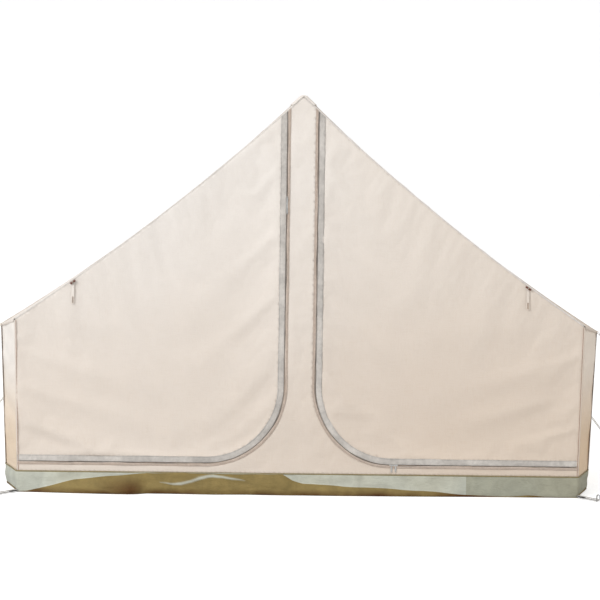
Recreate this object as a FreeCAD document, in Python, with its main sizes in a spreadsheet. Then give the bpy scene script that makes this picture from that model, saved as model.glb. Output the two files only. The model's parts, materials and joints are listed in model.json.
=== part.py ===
"""Bell tent with a D-shaped plan: a flat front wall with two zipped doors, and a half-round rear of gores.

Frame: millimetres, +Z up, origin at the foot of the centre pole on the ground. The front wall faces -Y and
+X is the right-hand side as seen from the front. All driving dimensions are in the spreadsheet called Sheet.
"""

import FreeCAD, Part

import math
import os
from types import SimpleNamespace

import Sketcher

DRIVING = {
    # overall shape
    "eave_radius": 1500,  # pole axis to an eave corner
    "ground_radius": 1475,  # pole axis to a wall corner at the ground
    "apex_height": 1980,
    "eave_height": 813,
    "front_setback": 200,  # the front wall's ground line, in front of the pole axis
    "front_apex_setback": 24,  # the front wall's plane at the apex, in front of the pole axis
    "front_apex_height": 1970,
    "front_base_half": 1390,  # half the front wall's width at the ground
    "front_top_half": 1416,  # half its width where the corner seam meets the roof
    "front_top_height": 850,
    "front_sag": 34,  # sag of the front wall's sloping top edges at their middles
    "hip_sag": 50,  # sag of the hip seams at their middles
    "gore_step": 36,  # degrees between two rear hip seams
    "cloth": 2,
    "apex_ring": 40,  # radius at which the gores end under the apex cap
    "cap_reach": 64,  # radius of the apex cap
    "cap_over": 3,  # the cap's cloth lies this far above the gores
    "tub_height": 103,
    # doors and zips, measured in the plane of the front wall
    "zip_offset": 75,
    "zip_sill": 150,
    "zip_radius": 385,
    "coil_half": 3,
    "coil_thick": 3,
    "tape_thick": 1,
    "frame_tape": 14,  # zip centre line to the edge of the frame's tape
    "door_tape_start": 8,
    "door_tape_end": 32,
    "fold_gap": 3,  # cloth edge to the fold line, on each side
    # zip sliders
    "slider_long": 20,
    "slider_wide": 14,
    "slider_chamfer": 3,
    "slider_wall": 1.2,
    "slider_play": 0.4,
    "left_sliders_up": 1434,  # where the left door's two sliders meet
    "ear_gap": 2.2,  # half the space between a slider's two ears
    "ear_thick": 1.4,
    "ear_reach": 4,
    "ear_long": 5.2,
    "pin_radius": 1,
    "knuckle_radius": 1.95,
    "neck_long": 7,
    "pull_long": 34,
    "pull_wide": 8,
    "pull_thick": 1.4,
    # centre pole
    "pole_radius": 14,
    "pole_wall": 1.5,
    "pole_joint_height": 985,
    "pole_top": 1925,
    "pole_base": 10.2,  # the lower tube starts this far above the ground, inside the foot
    "sleeve_long": 90,
    "foot_radius": 32,
    "foot_height": 46,
    "cap_radius": 17,
    "cap_plug": 40,
    # guy lines
    "guy_slope": 44,  # degrees below the horizontal
    "guy_end_height": 14,  # height of the rope's bend round its peg
    "rope_radius": 2,
    "strand_gap": 12,  # between the main strand and the returned tail
    "tail_long": 480,
    "knot_radius": 4.6,
    "whipping_radius": 3.8,
    "whipping_long": 16,
    "eye_radius": 8,
    "ring_radius": 12,
    "ring_wire": 2,
    "ring_out": 34,  # eave corner to the centre of the guy ring
    "runner_long": 12,
    "runner_wide": 34,
    "runner_deep": 14,
    "runner_bore": 2.08,
    "runner_up": 270,  # from the peg to the runner, at rest
    # pegs and webbing
    "peg_radius": 3.2,
    "peg_long": 210,
    "peg_tip": 14,
    "hook_radius": 9,
    "hook_rise": 16,
    "webbing": 1.5,
    "guy_loop_wide": 16,
    "peg_loop_long": 24,
    "peg_loop_wide": 16,
    "peg_loop_high": 14,
    "seam_tape_wide": 22,
    "seam_tape_thick": 1,
    "seam_tape_lift": 0.4,
    # front corner straps
    "corner_heading": 45,  # degrees in front of sideways
    "corner_level": 9.5,  # height of the buckle's middle
    "buckle_start": 12,
    "buckle_wide": 26,
    "buckle_bar": 4,
    "buckle_window": 8,
    "buckle_thick": 5,
    "strap_wide": 16,
    "strap_reach": 125,  # tub corner to the far end of the strap
    # door ties
    "toggle_from_middle": 1128,
    "toggle_drop": 16,  # the roof edge to the toggle's middle
    "toggle_radius": 5,
    "toggle_long": 30,
    "cord_ring": 6.2,
    "cord_radius": 1.5,
    "groove_radius": 2.2,
    "tie_long": 105,
    "tie_wide": 15,
}


class Size:
    """A number with the spreadsheet expression that gives it, so that features can be bound to it."""

    def __init__(self, number, text=None):
        self.number = float(number)
        self.text = f"{self.number:g}" if text is None else text

    def _join(self, sign, other, number):
        return Size(number, f"({self.text} {sign} {other.text})")

    def __add__(self, other):
        other = size(other)
        return self._join("+", other, self.number + other.number)

    def __sub__(self, other):
        other = size(other)
        return self._join("-", other, self.number - other.number)

    def __mul__(self, other):
        other = size(other)
        return self._join("*", other, self.number * other.number)

    def __truediv__(self, other):
        other = size(other)
        return self._join("/", other, self.number / other.number)

    def __neg__(self):
        return Size(-self.number, f"(-1 * {self.text})")


def size(amount):
    return amount if isinstance(amount, Size) else Size(amount)


doc = FreeCAD.newDocument("bell_tent")
sheet = doc.addObject("Spreadsheet::Sheet", "Sheet")
S = SimpleNamespace()  # every dimension of the sheet as a Size


def enter(alias, number):
    """Writes one dimension to the sheet and gives it a place in S."""
    row = len(vars(S)) + 1
    sheet.set(f"A{row}", alias.replace("_", " "))
    sheet.set(f"B{row}", f"{number:.9g}")
    sheet.setAlias(f"B{row}", alias)
    setattr(S, alias, Size(number, f"Sheet.{alias}"))


for name, number in DRIVING.items():
    enter(name, number)
doc.recompute()

NODES = {}  # node name: the document object that is written to parts/NODE.step
SIDES = {"left": -1, "right": 1}
X_AXIS = FreeCAD.Vector(1, 0, 0)
Y_AXIS = FreeCAD.Vector(0, 1, 0)
Z_AXIS = FreeCAD.Vector(0, 0, 1)


def cell(alias):
    """Value of one spreadsheet cell, in millimetres or degrees."""
    return float(sheet.get(alias))


def vec(x, y, z):
    return FreeCAD.Vector(x, y, z)


def at(x=0.0, y=0.0, z=0.0, axis=Z_AXIS, turn=0.0):
    return FreeCAD.Placement(vec(x, y, z), FreeCAD.Rotation(axis, turn))


# ---------------------------------------------------------------- shape of the tent

LEAN = math.atan2(cell("front_setback") - cell("front_apex_setback"), cell("apex_height"))
FRONT = at(y=-cell("front_setback"), axis=X_AXIS, turn=-math.degrees(LEAN))
APEX = vec(0, 0, cell("apex_height"))
GORES = round(180 / cell("gore_step"))
CORNERS = GORES + 1
EDGE_CLEAR = 5.0  # the front cloth's top edge stays this far under the roof cloth


def up_front(height):
    """Distance up the leaning front wall of a point at this height."""
    return height / math.cos(LEAN)


FRONT_APEX = (0.0, up_front(cell("front_apex_height")))
FRONT_SHOULDER = (cell("front_top_half"), up_front(cell("front_top_height")))


def front_point(across, up, depth=0.0):
    """Point of the front wall's plane in the tent's frame; depth goes into the tent."""
    return FRONT.multVec(vec(across, depth, up))


def sag_arc(sag):
    """Centre and radius of the front wall's sagging top edge, right-hand side, in the wall's plane."""
    (x_a, z_a), (x_b, z_b) = FRONT_APEX, FRONT_SHOULDER
    chord = math.hypot(x_b - x_a, z_b - z_a)
    radius = chord**2 / (8 * sag) + sag / 2
    normal = ((z_a - z_b) / chord, (x_b - x_a) / chord)
    ends = zip(FRONT_APEX, FRONT_SHOULDER, normal, strict=True)
    centre = [(a + b) / 2 + n * (radius - sag) for a, b, n in ends]
    return centre, radius


TOP_CENTRE, TOP_RADIUS = sag_arc(cell("front_sag"))


def top_edge(across):
    """Height in the wall's plane of the front wall's top edge."""
    return TOP_CENTRE[1] - math.sqrt(TOP_RADIUS**2 - (abs(across) - TOP_CENTRE[0]) ** 2)


def seam_across(up):
    """Half width of the front wall at a height in its plane: the line of the corner seam."""
    share = up / FRONT_SHOULDER[1]
    return cell("front_base_half") + share * (cell("front_top_half") - cell("front_base_half"))


def corner_angle(index):
    return math.radians(index * cell("gore_step"))


def eave_corner(index):
    angle = corner_angle(index)
    radius = cell("eave_radius")
    return vec(radius * math.cos(angle), radius * math.sin(angle), cell("eave_height"))


def wall_corner(index, height, inset=0.0):
    """Point of a rear wall seam at a height; inset moves it towards the pole."""
    share = height / cell("eave_height")
    radius = cell("ground_radius") + share * (cell("eave_radius") - cell("ground_radius")) - inset
    angle = corner_angle(index)
    return vec(radius * math.cos(angle), radius * math.sin(angle), height)


def hip_point(index, share, drop=0.0, sideways=0.0):
    """Point of a hip seam, share 0 at the apex and 1 at the eave; drop lowers it, sideways moves it across."""
    corner = eave_corner(index)
    chord = corner.sub(APEX)
    radial = vec(corner.x, corner.y, 0).normalize()
    steep = abs(chord.z) / chord.Length
    flat = math.hypot(chord.x, chord.y) / chord.Length
    sag = 4 * share * (1 - share) * cell("hip_sag")
    inward = vec(radial.x * steep, radial.y * steep, flat).multiply(-sag)
    across = Z_AXIS.cross(radial).multiply(sideways)
    return APEX.add(chord.multiply(share)).add(inward).add(across).add(vec(0, 0, -drop))


def cone_height(radius):
    """Height of a hip seam at a distance from the pole axis."""
    return hip_point(0, radius / cell("eave_radius")).z


# Dimensions that follow from the shape, written to the sheet so that sketches can be bound to them.
PEAK_HALF = 15.0
fold_top = (
    cell("zip_offset") + cell("door_tape_start"),
    top_edge(cell("zip_offset")) - 4 * EDGE_CLEAR,
)
fold_low_up = cell("zip_sill") + cell("door_tape_start")
fold_low = (seam_across(fold_low_up) - EDGE_CLEAR, fold_low_up)
fold_slope = (fold_low[1] - fold_top[1]) / (fold_low[0] - fold_top[0])
fold_shift = cell("fold_gap") * math.hypot(1, fold_slope)


def fold_up(across, shift):
    return fold_top[1] + (across - fold_top[0]) * fold_slope + shift


def fold_across(up, shift):
    return fold_top[0] + (up - shift - fold_top[1]) / fold_slope


def enter_derived():
    tape_in = cell("zip_offset") + cell("door_tape_start")
    tape_out = cell("zip_offset") + cell("door_tape_end")
    sill_in = cell("zip_sill") + cell("door_tape_start")
    sill_out = cell("zip_sill") + cell("door_tape_end")
    centre_edge = cell("zip_offset") - cell("frame_tape")
    frame_sill = cell("zip_sill") - cell("frame_tape")
    tub_up = up_front(cell("tub_height"))
    peak_radius = math.hypot(PEAK_HALF, cell("front_apex_setback"))
    enter("tape_in_top", fold_up(tape_in, -fold_shift))
    enter("tape_out_top", fold_up(tape_out, -fold_shift))
    enter("tape_in_end", fold_across(sill_in, -fold_shift))
    enter("tape_out_end", fold_across(sill_out, -fold_shift))
    enter("panel_inner_low", fold_up(tape_in, fold_shift))
    enter("panel_inner_top", top_edge(tape_in) - EDGE_CLEAR)
    enter("panel_sill_end", fold_across(sill_in, fold_shift))
    enter("seam_at_sill", seam_across(sill_in))
    enter("seam_at_frame", seam_across(frame_sill))
    enter("seam_at_tub", seam_across(tub_up))
    enter("tub_top", tub_up + 0.2)
    enter("zip_end", seam_across(cell("zip_sill")) - EDGE_CLEAR)
    enter("zip_top", top_edge(cell("zip_offset")) - 2 * EDGE_CLEAR)
    enter("centre_top", top_edge(centre_edge) - EDGE_CLEAR)
    enter("peak_half", PEAK_HALF)
    enter("peak_top", up_front(cone_height(peak_radius)))
    enter("shoulder_top", FRONT_SHOULDER[1] - EDGE_CLEAR)
    enter("top_radius", TOP_RADIUS)


enter_derived()
doc.recompute()


# ---------------------------------------------------------------- helpers that make features


def keep(name, feature):
    """Registers a finished sub-part under the name of its node."""
    feature.Label = name
    NODES[name] = feature
    return feature


def shape_part(name, shape):
    """A sub-part whose curved cloth is built with Part's own functions."""
    feature = doc.addObject("Part::Feature", name)
    feature.Shape = shape
    return keep(name, feature)


def primitive(kind, name, placement, **sizes):
    feature = doc.addObject(kind, name)
    for prop, amount in sizes.items():
        feature.setExpression(prop, size(amount).text)
    feature.Placement = placement
    return feature


def cylinder(name, radius, height, placement):
    return primitive("Part::Cylinder", name, placement, Radius=radius, Height=height)


def torus(name, radius, wire, placement, sweep=360):
    return primitive("Part::Torus", name, placement, Radius1=radius, Radius2=wire, Angle3=sweep)


def cuboid(name, length, width, height, placement):
    return primitive("Part::Box", name, placement, Length=length, Width=width, Height=height)


def cut(name, base, tool):
    feature = doc.addObject("Part::Cut", name)
    feature.Base, feature.Tool = base, tool
    return feature


def fuse(name, *parts):
    feature = doc.addObject("Part::MultiFuse", name)
    feature.Shapes = list(parts)
    feature.Refine = False
    return feature


def group(name, features):
    """A sub-part made of several separate solids."""
    feature = doc.addObject("Part::Compound", name)
    feature.Links = list(features)
    return keep(name, feature)


def new_body(name, placement=None):
    body = doc.addObject("PartDesign::Body", name)
    if placement is not None:
        body.Placement = placement
    return body


def new_sketch(body, role, offset=0.0):
    sketch = body.newObject("Sketcher::SketchObject", body.Name + "_outline")
    plane = next(feature for feature in body.Origin.OriginFeatures if feature.Role == role)
    sketch.AttachmentSupport = [(plane, "")]
    sketch.MapMode = "FlatFace"
    sketch.AttachmentOffset = at(z=offset)
    return sketch


def pad(body, sketch, length, reverse=False):
    feature = body.newObject("PartDesign::Pad", body.Name + "_pad")
    feature.Profile = sketch
    feature.Reversed = reverse
    feature.setExpression("Length", size(length).text)
    sketch.Visibility = False
    return body


def arc_through(start, end, radius, turn):
    """Arc of up to half a turn; turn is +1 if its centre is left of the way from start to end."""
    chord = end.sub(start)
    reach = math.sqrt(max(radius**2 - (chord.Length / 2) ** 2, 0.0))
    left = vec(-chord.y, chord.x, 0).normalize()
    centre = start.add(end).multiply(0.5).add(left.multiply(turn * reach))
    first, last = (start, end) if turn > 0 else (end, start)
    angles = [math.atan2(p.y - centre.y, p.x - centre.x) for p in (first, last)]
    return Part.ArcOfCircle(Part.Circle(centre, Z_AXIS, radius), *angles)


def outline(sketch, corners, mirror=1):
    """Closed outline of lines and arcs, bound to the sheet. A corner is (x, y) or (x, y, radius, turn), where
    the last two shape the edge that leaves it. mirror -1 flips the outline in x."""
    first = sketch.GeometryCount
    places = [(size(c[0]) * mirror, size(c[1])) for c in corners]
    points = [vec(x.number, y.number, 0) for x, y in places]
    ends = []
    for i, corner in enumerate(corners):
        start, end = points[i], points[(i + 1) % len(points)]
        if len(corner) == 2:
            sketch.addGeometry(Part.LineSegment(start, end))
            ends.append((1, 2))
        else:
            turn = corner[3] * mirror
            sketch.addGeometry(arc_through(start, end, size(corner[2]).number, turn))
            ends.append((1, 2) if turn > 0 else (2, 1))
    for i, corner in enumerate(corners):
        after = (i + 1) % len(corners)
        meeting = (first + i, ends[i][1], first + after, ends[after][0])
        sketch.addConstraint(Sketcher.Constraint("Coincident", *meeting))
        for kind, amount in zip(("DistanceX", "DistanceY"), places[i], strict=True):
            dimension(sketch, amount, kind, -1, 1, first + i, ends[i][0])
        if len(corner) == 4 and not touches_both(corner, points[i], points[after]):
            dimension(sketch, size(corner[2]), "Radius", first + i)
        elif len(corner) == 4:
            centre_on_chord(sketch, first + i)


def touches_both(corner, start, end):
    """Whether an arc is a half circle, whose radius the distance between its ends already gives."""
    return abs(size(corner[2]).number - end.sub(start).Length / 2) < 1e-6


def centre_on_chord(sketch, index):
    sketch.addConstraint(Sketcher.Constraint("Symmetric", index, 1, index, 2, index, 3))


def dimension(sketch, amount, kind, *where):
    index = sketch.addConstraint(Sketcher.Constraint(kind, *where, amount.number))
    sketch.setExpression(f"Constraints[{index}]", amount.text)


def plate(name, corners, thick, placement=None, mirror=1, offset=0.0):
    """Flat plate from an outline in the XZ plane, growing towards +Y from offset."""
    body = new_body(name, placement)
    sketch = new_sketch(body, "XZ_Plane", -offset)
    outline(sketch, corners, mirror)
    return pad(body, sketch, thick, reverse=True)


def obround(length, half):
    """Outline of an obround whose end centres are at x = 0 and x = length."""
    return [(Size(0), -half), (length, -half, half, 1), (length, half), (Size(0), half, half, 1)]


def webbing_band(name, length, half, high, placement):
    """Closed loop of webbing: an obround of end radius half, standing high along its Z."""
    body = new_body(name, placement)
    sketch = new_sketch(body, "XY_Plane")
    outline(sketch, obround(length, half))
    outline(sketch, obround(length, half - S.webbing))
    return pad(body, sketch, high)


def line(start, end):
    return Part.makeLine(start, end)


def sheet_solid(outer_a, outer_b, inner_a, inner_b):
    """Cloth between two ruled faces; a and b are matching opposite edges of its outer and inner face."""
    ruled = Part.makeRuledSurface
    pairs = [(outer_a, outer_b), (inner_a, inner_b), (outer_a, inner_a), (outer_b, inner_b)]
    faces = [ruled(*pair) for pair in pairs]
    for end in ("FirstParameter", "LastParameter"):
        a, b, c, d = (e.valueAt(getattr(e, end)) for e in (outer_a, outer_b, inner_a, inner_b))
        faces.append(ruled(line(a, b), line(c, d)))
    shell = Part.makeShell(faces)
    shell.sewShape()
    solid = Part.makeSolid(shell)
    if solid.Volume < 0:
        solid.reverse()
    return solid


# ---------------------------------------------------------------- roof and walls


def hip_edge(index, drop=0.0, sideways=0.0):
    shares = (cell("apex_ring") / cell("eave_radius"), 0.5, 1.0)
    return Part.Arc(*(hip_point(index, s, drop, sideways) for s in shares)).toShape()


def front_top_curve(side, drop=0.0):
    """Sagging top edge of the front wall, from beside the apex to the shoulder."""
    stations = (cell("apex_ring"), cell("front_top_half") / 2, cell("front_top_half"))
    points = [front_point(side * a, top_edge(a)).add(vec(0, 0, -drop)) for a in stations]
    return Part.Arc(*points).toShape()


def make_roof():
    cloth = cell("cloth")
    for k in range(GORES):
        solid = sheet_solid(hip_edge(k), hip_edge(k + 1), hip_edge(k, cloth), hip_edge(k + 1, cloth))
        shape_part(f"roof_gore_{k + 1}", solid)
    for word, side in SIDES.items():
        hip = 0 if side > 0 else GORES
        outer = (front_top_curve(side), hip_edge(hip))
        solid = sheet_solid(*outer, front_top_curve(side, cloth), hip_edge(hip, cloth))
        shape_part(f"roof_side_gore_{word}", solid)


def make_apex_cap():
    """Cloth cap over the gores' top ends, cut flat where the front wall passes."""
    radii = [cell("cap_reach") * share for share in (0.25, 0.5, 0.75, 1.0)]
    lift, cloth = cell("cap_over"), cell("cloth")
    under = [vec(r, 0, cone_height(r) + lift) for r in radii]
    outer = [vec(r, 0, cone_height(r) + lift + cloth) for r in radii]
    tops = [vec(0, 0, side[0].z + 1) for side in (under, outer)]
    profile = Part.makePolygon([tops[1], *outer, *reversed(under), tops[0], tops[1]])
    cone = Part.Face(profile).revolve(vec(0, 0, 0), Z_AXIS, 360)
    reach = 4 * cell("cap_reach")
    in_front = Part.makeBox(2 * reach, reach, 2 * reach, vec(-reach, -reach - 0.5, FRONT_APEX[1] - reach))
    in_front.Placement = FRONT.multiply(in_front.Placement)
    shape_part("apex_cap", cone.cut(in_front))


def wall_sheet(k, low, high):
    """Flat sheet of the rear wall between seams k and k + 1, hung just inside the roof's edge."""
    lines = []
    for inset in (0.5, 0.5 + cell("cloth")):
        for height in (low, high):
            lines.append(line(wall_corner(k, height, inset), wall_corner(k + 1, height, inset)))
    return sheet_solid(*lines)


def side_sheet(side, low, high):
    """Narrow sheet from just behind the front wall's corner seam to the first rear seam."""
    hip = 0 if side > 0 else GORES
    lines = []
    for inset in (0.5, 0.5 + cell("cloth")):
        for height in (low, high):
            up = up_front(height)
            front = front_point(side * (seam_across(up) - inset), up, cell("cloth") + 1.0)
            lines.append(line(front, wall_corner(hip, height, inset)))
    return sheet_solid(*lines)


def front_sheet(low, high):
    lines = []
    for depth in (0.0, cell("cloth")):
        for height in (low, high):
            up = up_front(height)
            ends = [front_point(sign * seam_across(up), up, depth) for sign in (-1, 1)]
            lines.append(line(*ends))
    return sheet_solid(*lines)


def make_walls():
    low = cell("tub_height") + 0.2
    high = cell("eave_height") - cell("cloth") - 1.5
    for k in range(GORES):
        shape_part(f"wall_panel_{k + 1}", wall_sheet(k, low, high))
    for word, side in SIDES.items():
        shape_part(f"side_wall_{word}", side_sheet(side, low, high))


def make_groundsheet():
    body = new_body("groundsheet_floor")
    sketch = new_sketch(body, "XY_Plane")
    corners = [(S.front_base_half * sign, -S.front_setback) for sign in (-1, 1)]
    for k in range(CORNERS):
        angle = corner_angle(k)
        swing = [Size(f(angle), f"{f.__name__}({k} * Sheet.gore_step * 1 deg)") for f in (math.cos, math.sin)]
        corners.append((S.ground_radius * swing[0], S.ground_radius * swing[1]))
    outline(sketch, corners)
    keep("groundsheet_floor", pad(body, sketch, S.cloth))

    low, high = cell("cloth") + 0.5, cell("tub_height")
    strips = [wall_sheet(k, low, high) for k in range(GORES)]
    strips += [side_sheet(side, low, high) for side in SIDES.values()]
    strips.append(front_sheet(low, high))
    shape_part("groundsheet_upstand", Part.makeCompound(strips))


def make_seam_tapes():
    """Webbing tapes over the hip seams and down the rear wall seams."""
    half, lift = cell("seam_tape_wide") / 2, cell("seam_tape_lift")
    drops = (-lift - cell("seam_tape_thick"), -lift)
    hips = []
    for k in range(CORNERS):
        hips.append(sheet_solid(*(hip_edge(k, drop, sign * half) for drop in drops for sign in (-1, 1))))
    shape_part("hip_seam_tapes", Part.makeCompound(hips))

    low, high = cell("tub_height") + 2, cell("eave_height") - 30
    strips = []
    for k in range(CORNERS):
        across = vec(-math.sin(corner_angle(k)), math.cos(corner_angle(k)), 0)
        lines = []
        for inset in drops:
            for sign in (-half, half):
                shift = FreeCAD.Vector(across).multiply(sign)
                ends = [wall_corner(k, h, inset).add(shift) for h in (low, high)]
                lines.append(line(*ends))
        strips.append(sheet_solid(*lines))
    shape_part("wall_seam_tapes", Part.makeCompound(strips))


# ---------------------------------------------------------------- front wall, doors and zips

BEND_UP = S.zip_sill + S.zip_radius
BEND_OUT = S.zip_offset + S.zip_radius


def zip_band(name, side, near, far, thick, tops, ends):
    """Band that follows the zip: down beside it, round the curve and out along the sill. near and far are its
    edges' distances from the zip's centre line, towards the door; tops and ends are where each edge stops."""
    corners = [
        (S.zip_offset + near, tops[0]),
        (S.zip_offset + near, BEND_UP, S.zip_radius - near, 1),
        (BEND_OUT, S.zip_sill + near),
        (ends[0], S.zip_sill + near),
        (ends[1], S.zip_sill + far),
        (BEND_OUT, S.zip_sill + far, S.zip_radius - far, -1),
        (S.zip_offset + far, BEND_UP),
        (S.zip_offset + far, tops[1]),
    ]
    middle = (cell("cloth") - thick.number) / 2
    return plate(name, corners, thick, FRONT, side, middle)


def centre_panel():
    """Upright strip between the doors and the band under them, in one cloth."""
    edge, low = S.zip_offset - S.frame_tape, S.zip_sill - S.frame_tape
    right = [
        (S.seam_at_tub, S.tub_top),
        (S.seam_at_frame, low),
        (BEND_OUT, low, S.zip_radius + S.frame_tape, -1),
        (edge, BEND_UP),
        (edge, S.centre_top),
        (S.peak_half, S.peak_top),
    ]
    left = []
    for i in reversed(range(len(right))):
        arc = right[i - 1][2:] if i > 0 else ()
        left.append((-right[i][0], right[i][1], *arc))
    keep("front_centre_panel", plate("front_centre_panel", right + left, S.cloth, FRONT))


def make_front():
    centre_panel()
    for word, side in SIDES.items():
        tops, ends = (S.zip_top,) * 2, (S.zip_end,) * 2
        coil = zip_band(f"{word}_coil", side, -S.coil_half, S.coil_half, S.coil_thick, tops, ends)
        tape = zip_band(f"{word}_frame_tape", side, -S.frame_tape, -S.coil_half, S.tape_thick, tops, ends)
        keep(f"{word}_zip_frame_tape", fuse(f"{word}_zip_frame_tape", tape, coil))
        door_tops, door_ends = (S.tape_in_top, S.tape_out_top), (S.tape_in_end, S.tape_out_end)
        near, far = S.door_tape_start, S.door_tape_end
        name = f"{word}_zip_door_tape"
        keep(name, zip_band(name, side, near, far, S.tape_thick, door_tops, door_ends))

        name = f"{word}_door_flap"
        corners = [
            (S.zip_offset + far, S.tape_out_top),
            (S.zip_offset + far, BEND_UP, S.zip_radius - far, 1),
            (BEND_OUT, S.zip_sill + far),
            (S.tape_out_end, S.zip_sill + far),
        ]
        keep(name, plate(name, corners, S.cloth, FRONT, side))

        name = f"{word}_door_side_panel"
        corners = [
            (S.zip_offset + near, S.panel_inner_low),
            (S.panel_sill_end, S.zip_sill + near),
            (S.seam_at_sill, S.zip_sill + near),
            (S.front_top_half, S.shoulder_top, S.top_radius, -1),
            (S.zip_offset + near, S.panel_inner_top),
        ]
        keep(name, plate(name, corners, S.cloth, FRONT, side))


# ---------------------------------------------------------------- zip sliders and pulls


def slider_plate(name, depth):
    half_wide, half_long, chamfer = S.slider_wide / 2, S.slider_long / 2, S.slider_chamfer
    corners = [
        (-half_wide, chamfer - half_long),
        (chamfer - half_wide, -half_long),
        (half_wide - chamfer, -half_long),
        (half_wide, chamfer - half_long),
        (half_wide, half_long - chamfer / 2),
        (half_wide - chamfer / 2, half_long),
        (chamfer / 2 - half_wide, half_long),
        (-half_wide, half_long - chamfer / 2),
    ]
    return plate(name, corners, S.slider_wall, offset=depth)


def make_slider(name, door_side, pin_turn, placement):
    """Slider round the coil: two plates joined by a web on the door's side, and two ears that carry the pin of
    the pull. Its travel is along Z and outward is -Y. Returns how far out of the cloth's face the pin lies."""
    play, wall = cell("slider_play"), cell("slider_wall")
    inner = (cell("cloth") - cell("coil_thick")) / 2 - play
    back = (cell("cloth") + cell("coil_thick")) / 2 + play
    face = inner - wall
    parts = [slider_plate(f"{name}_front", face), slider_plate(f"{name}_back", back)]
    web_high = S.slider_long - S.slider_chamfer * 2
    web_at = S.coil_half.number + play
    web_x = web_at if door_side > 0 else -web_at - wall
    web_place = at(web_x, inner, -web_high.number / 2)
    parts.append(cuboid(f"{name}_web", S.slider_wall, S.coil_thick + S.slider_play * 2, web_high, web_place))

    pin_out = face - cell("ear_reach") / 2 - 0.3
    turn = FreeCAD.Placement(vec(0, 0, 0), FreeCAD.Rotation(Y_AXIS, pin_turn))
    for word, low in (("low", -cell("ear_gap") - cell("ear_thick")), ("high", cell("ear_gap"))):
        spot = turn.multiply(at(low, face - cell("ear_reach"), -cell("ear_long") / 2))
        parts.append(cuboid(f"{name}_{word}_ear", S.ear_thick, S.ear_reach, S.ear_long, spot))
    half_pin = cell("ear_gap") + cell("ear_thick")
    pin_place = turn.multiply(at(-half_pin, pin_out, 0, Y_AXIS, 90))
    parts.append(cylinder(f"{name}_pin", S.pin_radius, (S.ear_gap + S.ear_thick) * 2, pin_place))
    slider = fuse(name, *parts)
    slider.Placement = placement
    keep(name, slider)
    return pin_out


def make_pull(name, placement):
    """Pull tab hanging from its knuckle, which turns on the slider's pin; the pin lies along X."""
    half = S.ear_gap - 0.2
    knuckle_place = at(-half.number, 0, 0, Y_AXIS, 90)
    knuckle = cylinder(f"{name}_knuckle", S.knuckle_radius, half * 2, knuckle_place)
    neck_place = at(0.2 - half.number, -cell("pull_thick") / 2, -cell("neck_long"))
    neck = cuboid(f"{name}_neck", half * 2 - 0.4, S.pull_thick, S.neck_long, neck_place)
    half_wide, shoulder, tip = S.pull_wide / 2, -S.neck_long, -(S.pull_long - S.pull_wide / 2)
    tab = new_body(f"{name}_tab")
    sketch = new_sketch(tab, "XZ_Plane", cell("pull_thick") / 2)
    outline(sketch, [
        (half_wide, shoulder),
        (-half_wide, shoulder),
        (-half_wide, tip, half_wide, 1),
        (half_wide, tip),
    ])
    hole = half_wide / 2
    outline(sketch, [(-hole, tip, hole, 1), (hole, tip, hole, 1)])
    pad(tab, sketch, S.pull_thick, reverse=True)
    whole = fuse(f"{name}_whole", knuckle, neck, tab)
    bore_place = at(-2 * half.number, 0, 0, Y_AXIS, 90)
    bore = cylinder(f"{name}_bore", S.pin_radius + 0.06, half * 4, bore_place)
    pull = cut(name, whole, bore)
    pull.Placement = placement
    keep(name, pull)


def place_slider(place, side, across, up, travel_turn, pull_turn):
    """Slider and pull on the front wall. travel_turn turns the travel away from straight up the wall, and
    pull_turn turns the pull away from hanging straight down it."""
    door_side = side if travel_turn == 0 else -1
    pin_turn = 0 if travel_turn == 0 else 90
    spot = FRONT.multiply(at(side * across, 0, up, Y_AXIS, travel_turn))
    pin_out = make_slider(f"{place[0]}_zip_slider_{place[1]}", door_side, pin_turn, spot)
    hang = FRONT.multiply(at(side * across, pin_out, up, Y_AXIS, pull_turn))
    make_pull(f"{place[0]}_zip_pull_{place[1]}", hang)


def make_sliders():
    step = cell("slider_long") / 2 + 0.25
    meet = cell("left_sliders_up")
    across = cell("zip_offset")
    place_slider(("left", "upper"), -1, across, meet + step, 0, 180)
    place_slider(("left", "lower"), -1, across, meet - step, 0, 0)
    bend, sill = BEND_OUT.number, cell("zip_sill")
    place_slider(("right", "inner"), 1, bend, sill, 90, 0)
    place_slider(("right", "outer"), 1, bend + 2 * step, sill, 90, 0)


# ---------------------------------------------------------------- centre pole


def tube(name, outer, inner, low, high):
    spot = at(z=low.number)
    wall = cylinder(name + "_wall", outer, high - low, spot)
    hollow = cylinder(name + "_hollow", inner, high - low, spot)
    return keep(name, cut(name, wall, hollow))


def turned(name, corners):
    """Solid of revolution about Z from an outline of (radius, height) corners."""
    body = new_body(name)
    sketch = new_sketch(body, "XZ_Plane")
    outline(sketch, corners)
    revolution = body.newObject("PartDesign::Revolution", name + "_turned")
    revolution.Profile = sketch
    revolution.ReferenceAxis = (sketch, ["V_Axis"])
    revolution.Angle = 360
    sketch.Visibility = False
    return keep(name, body)


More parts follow.
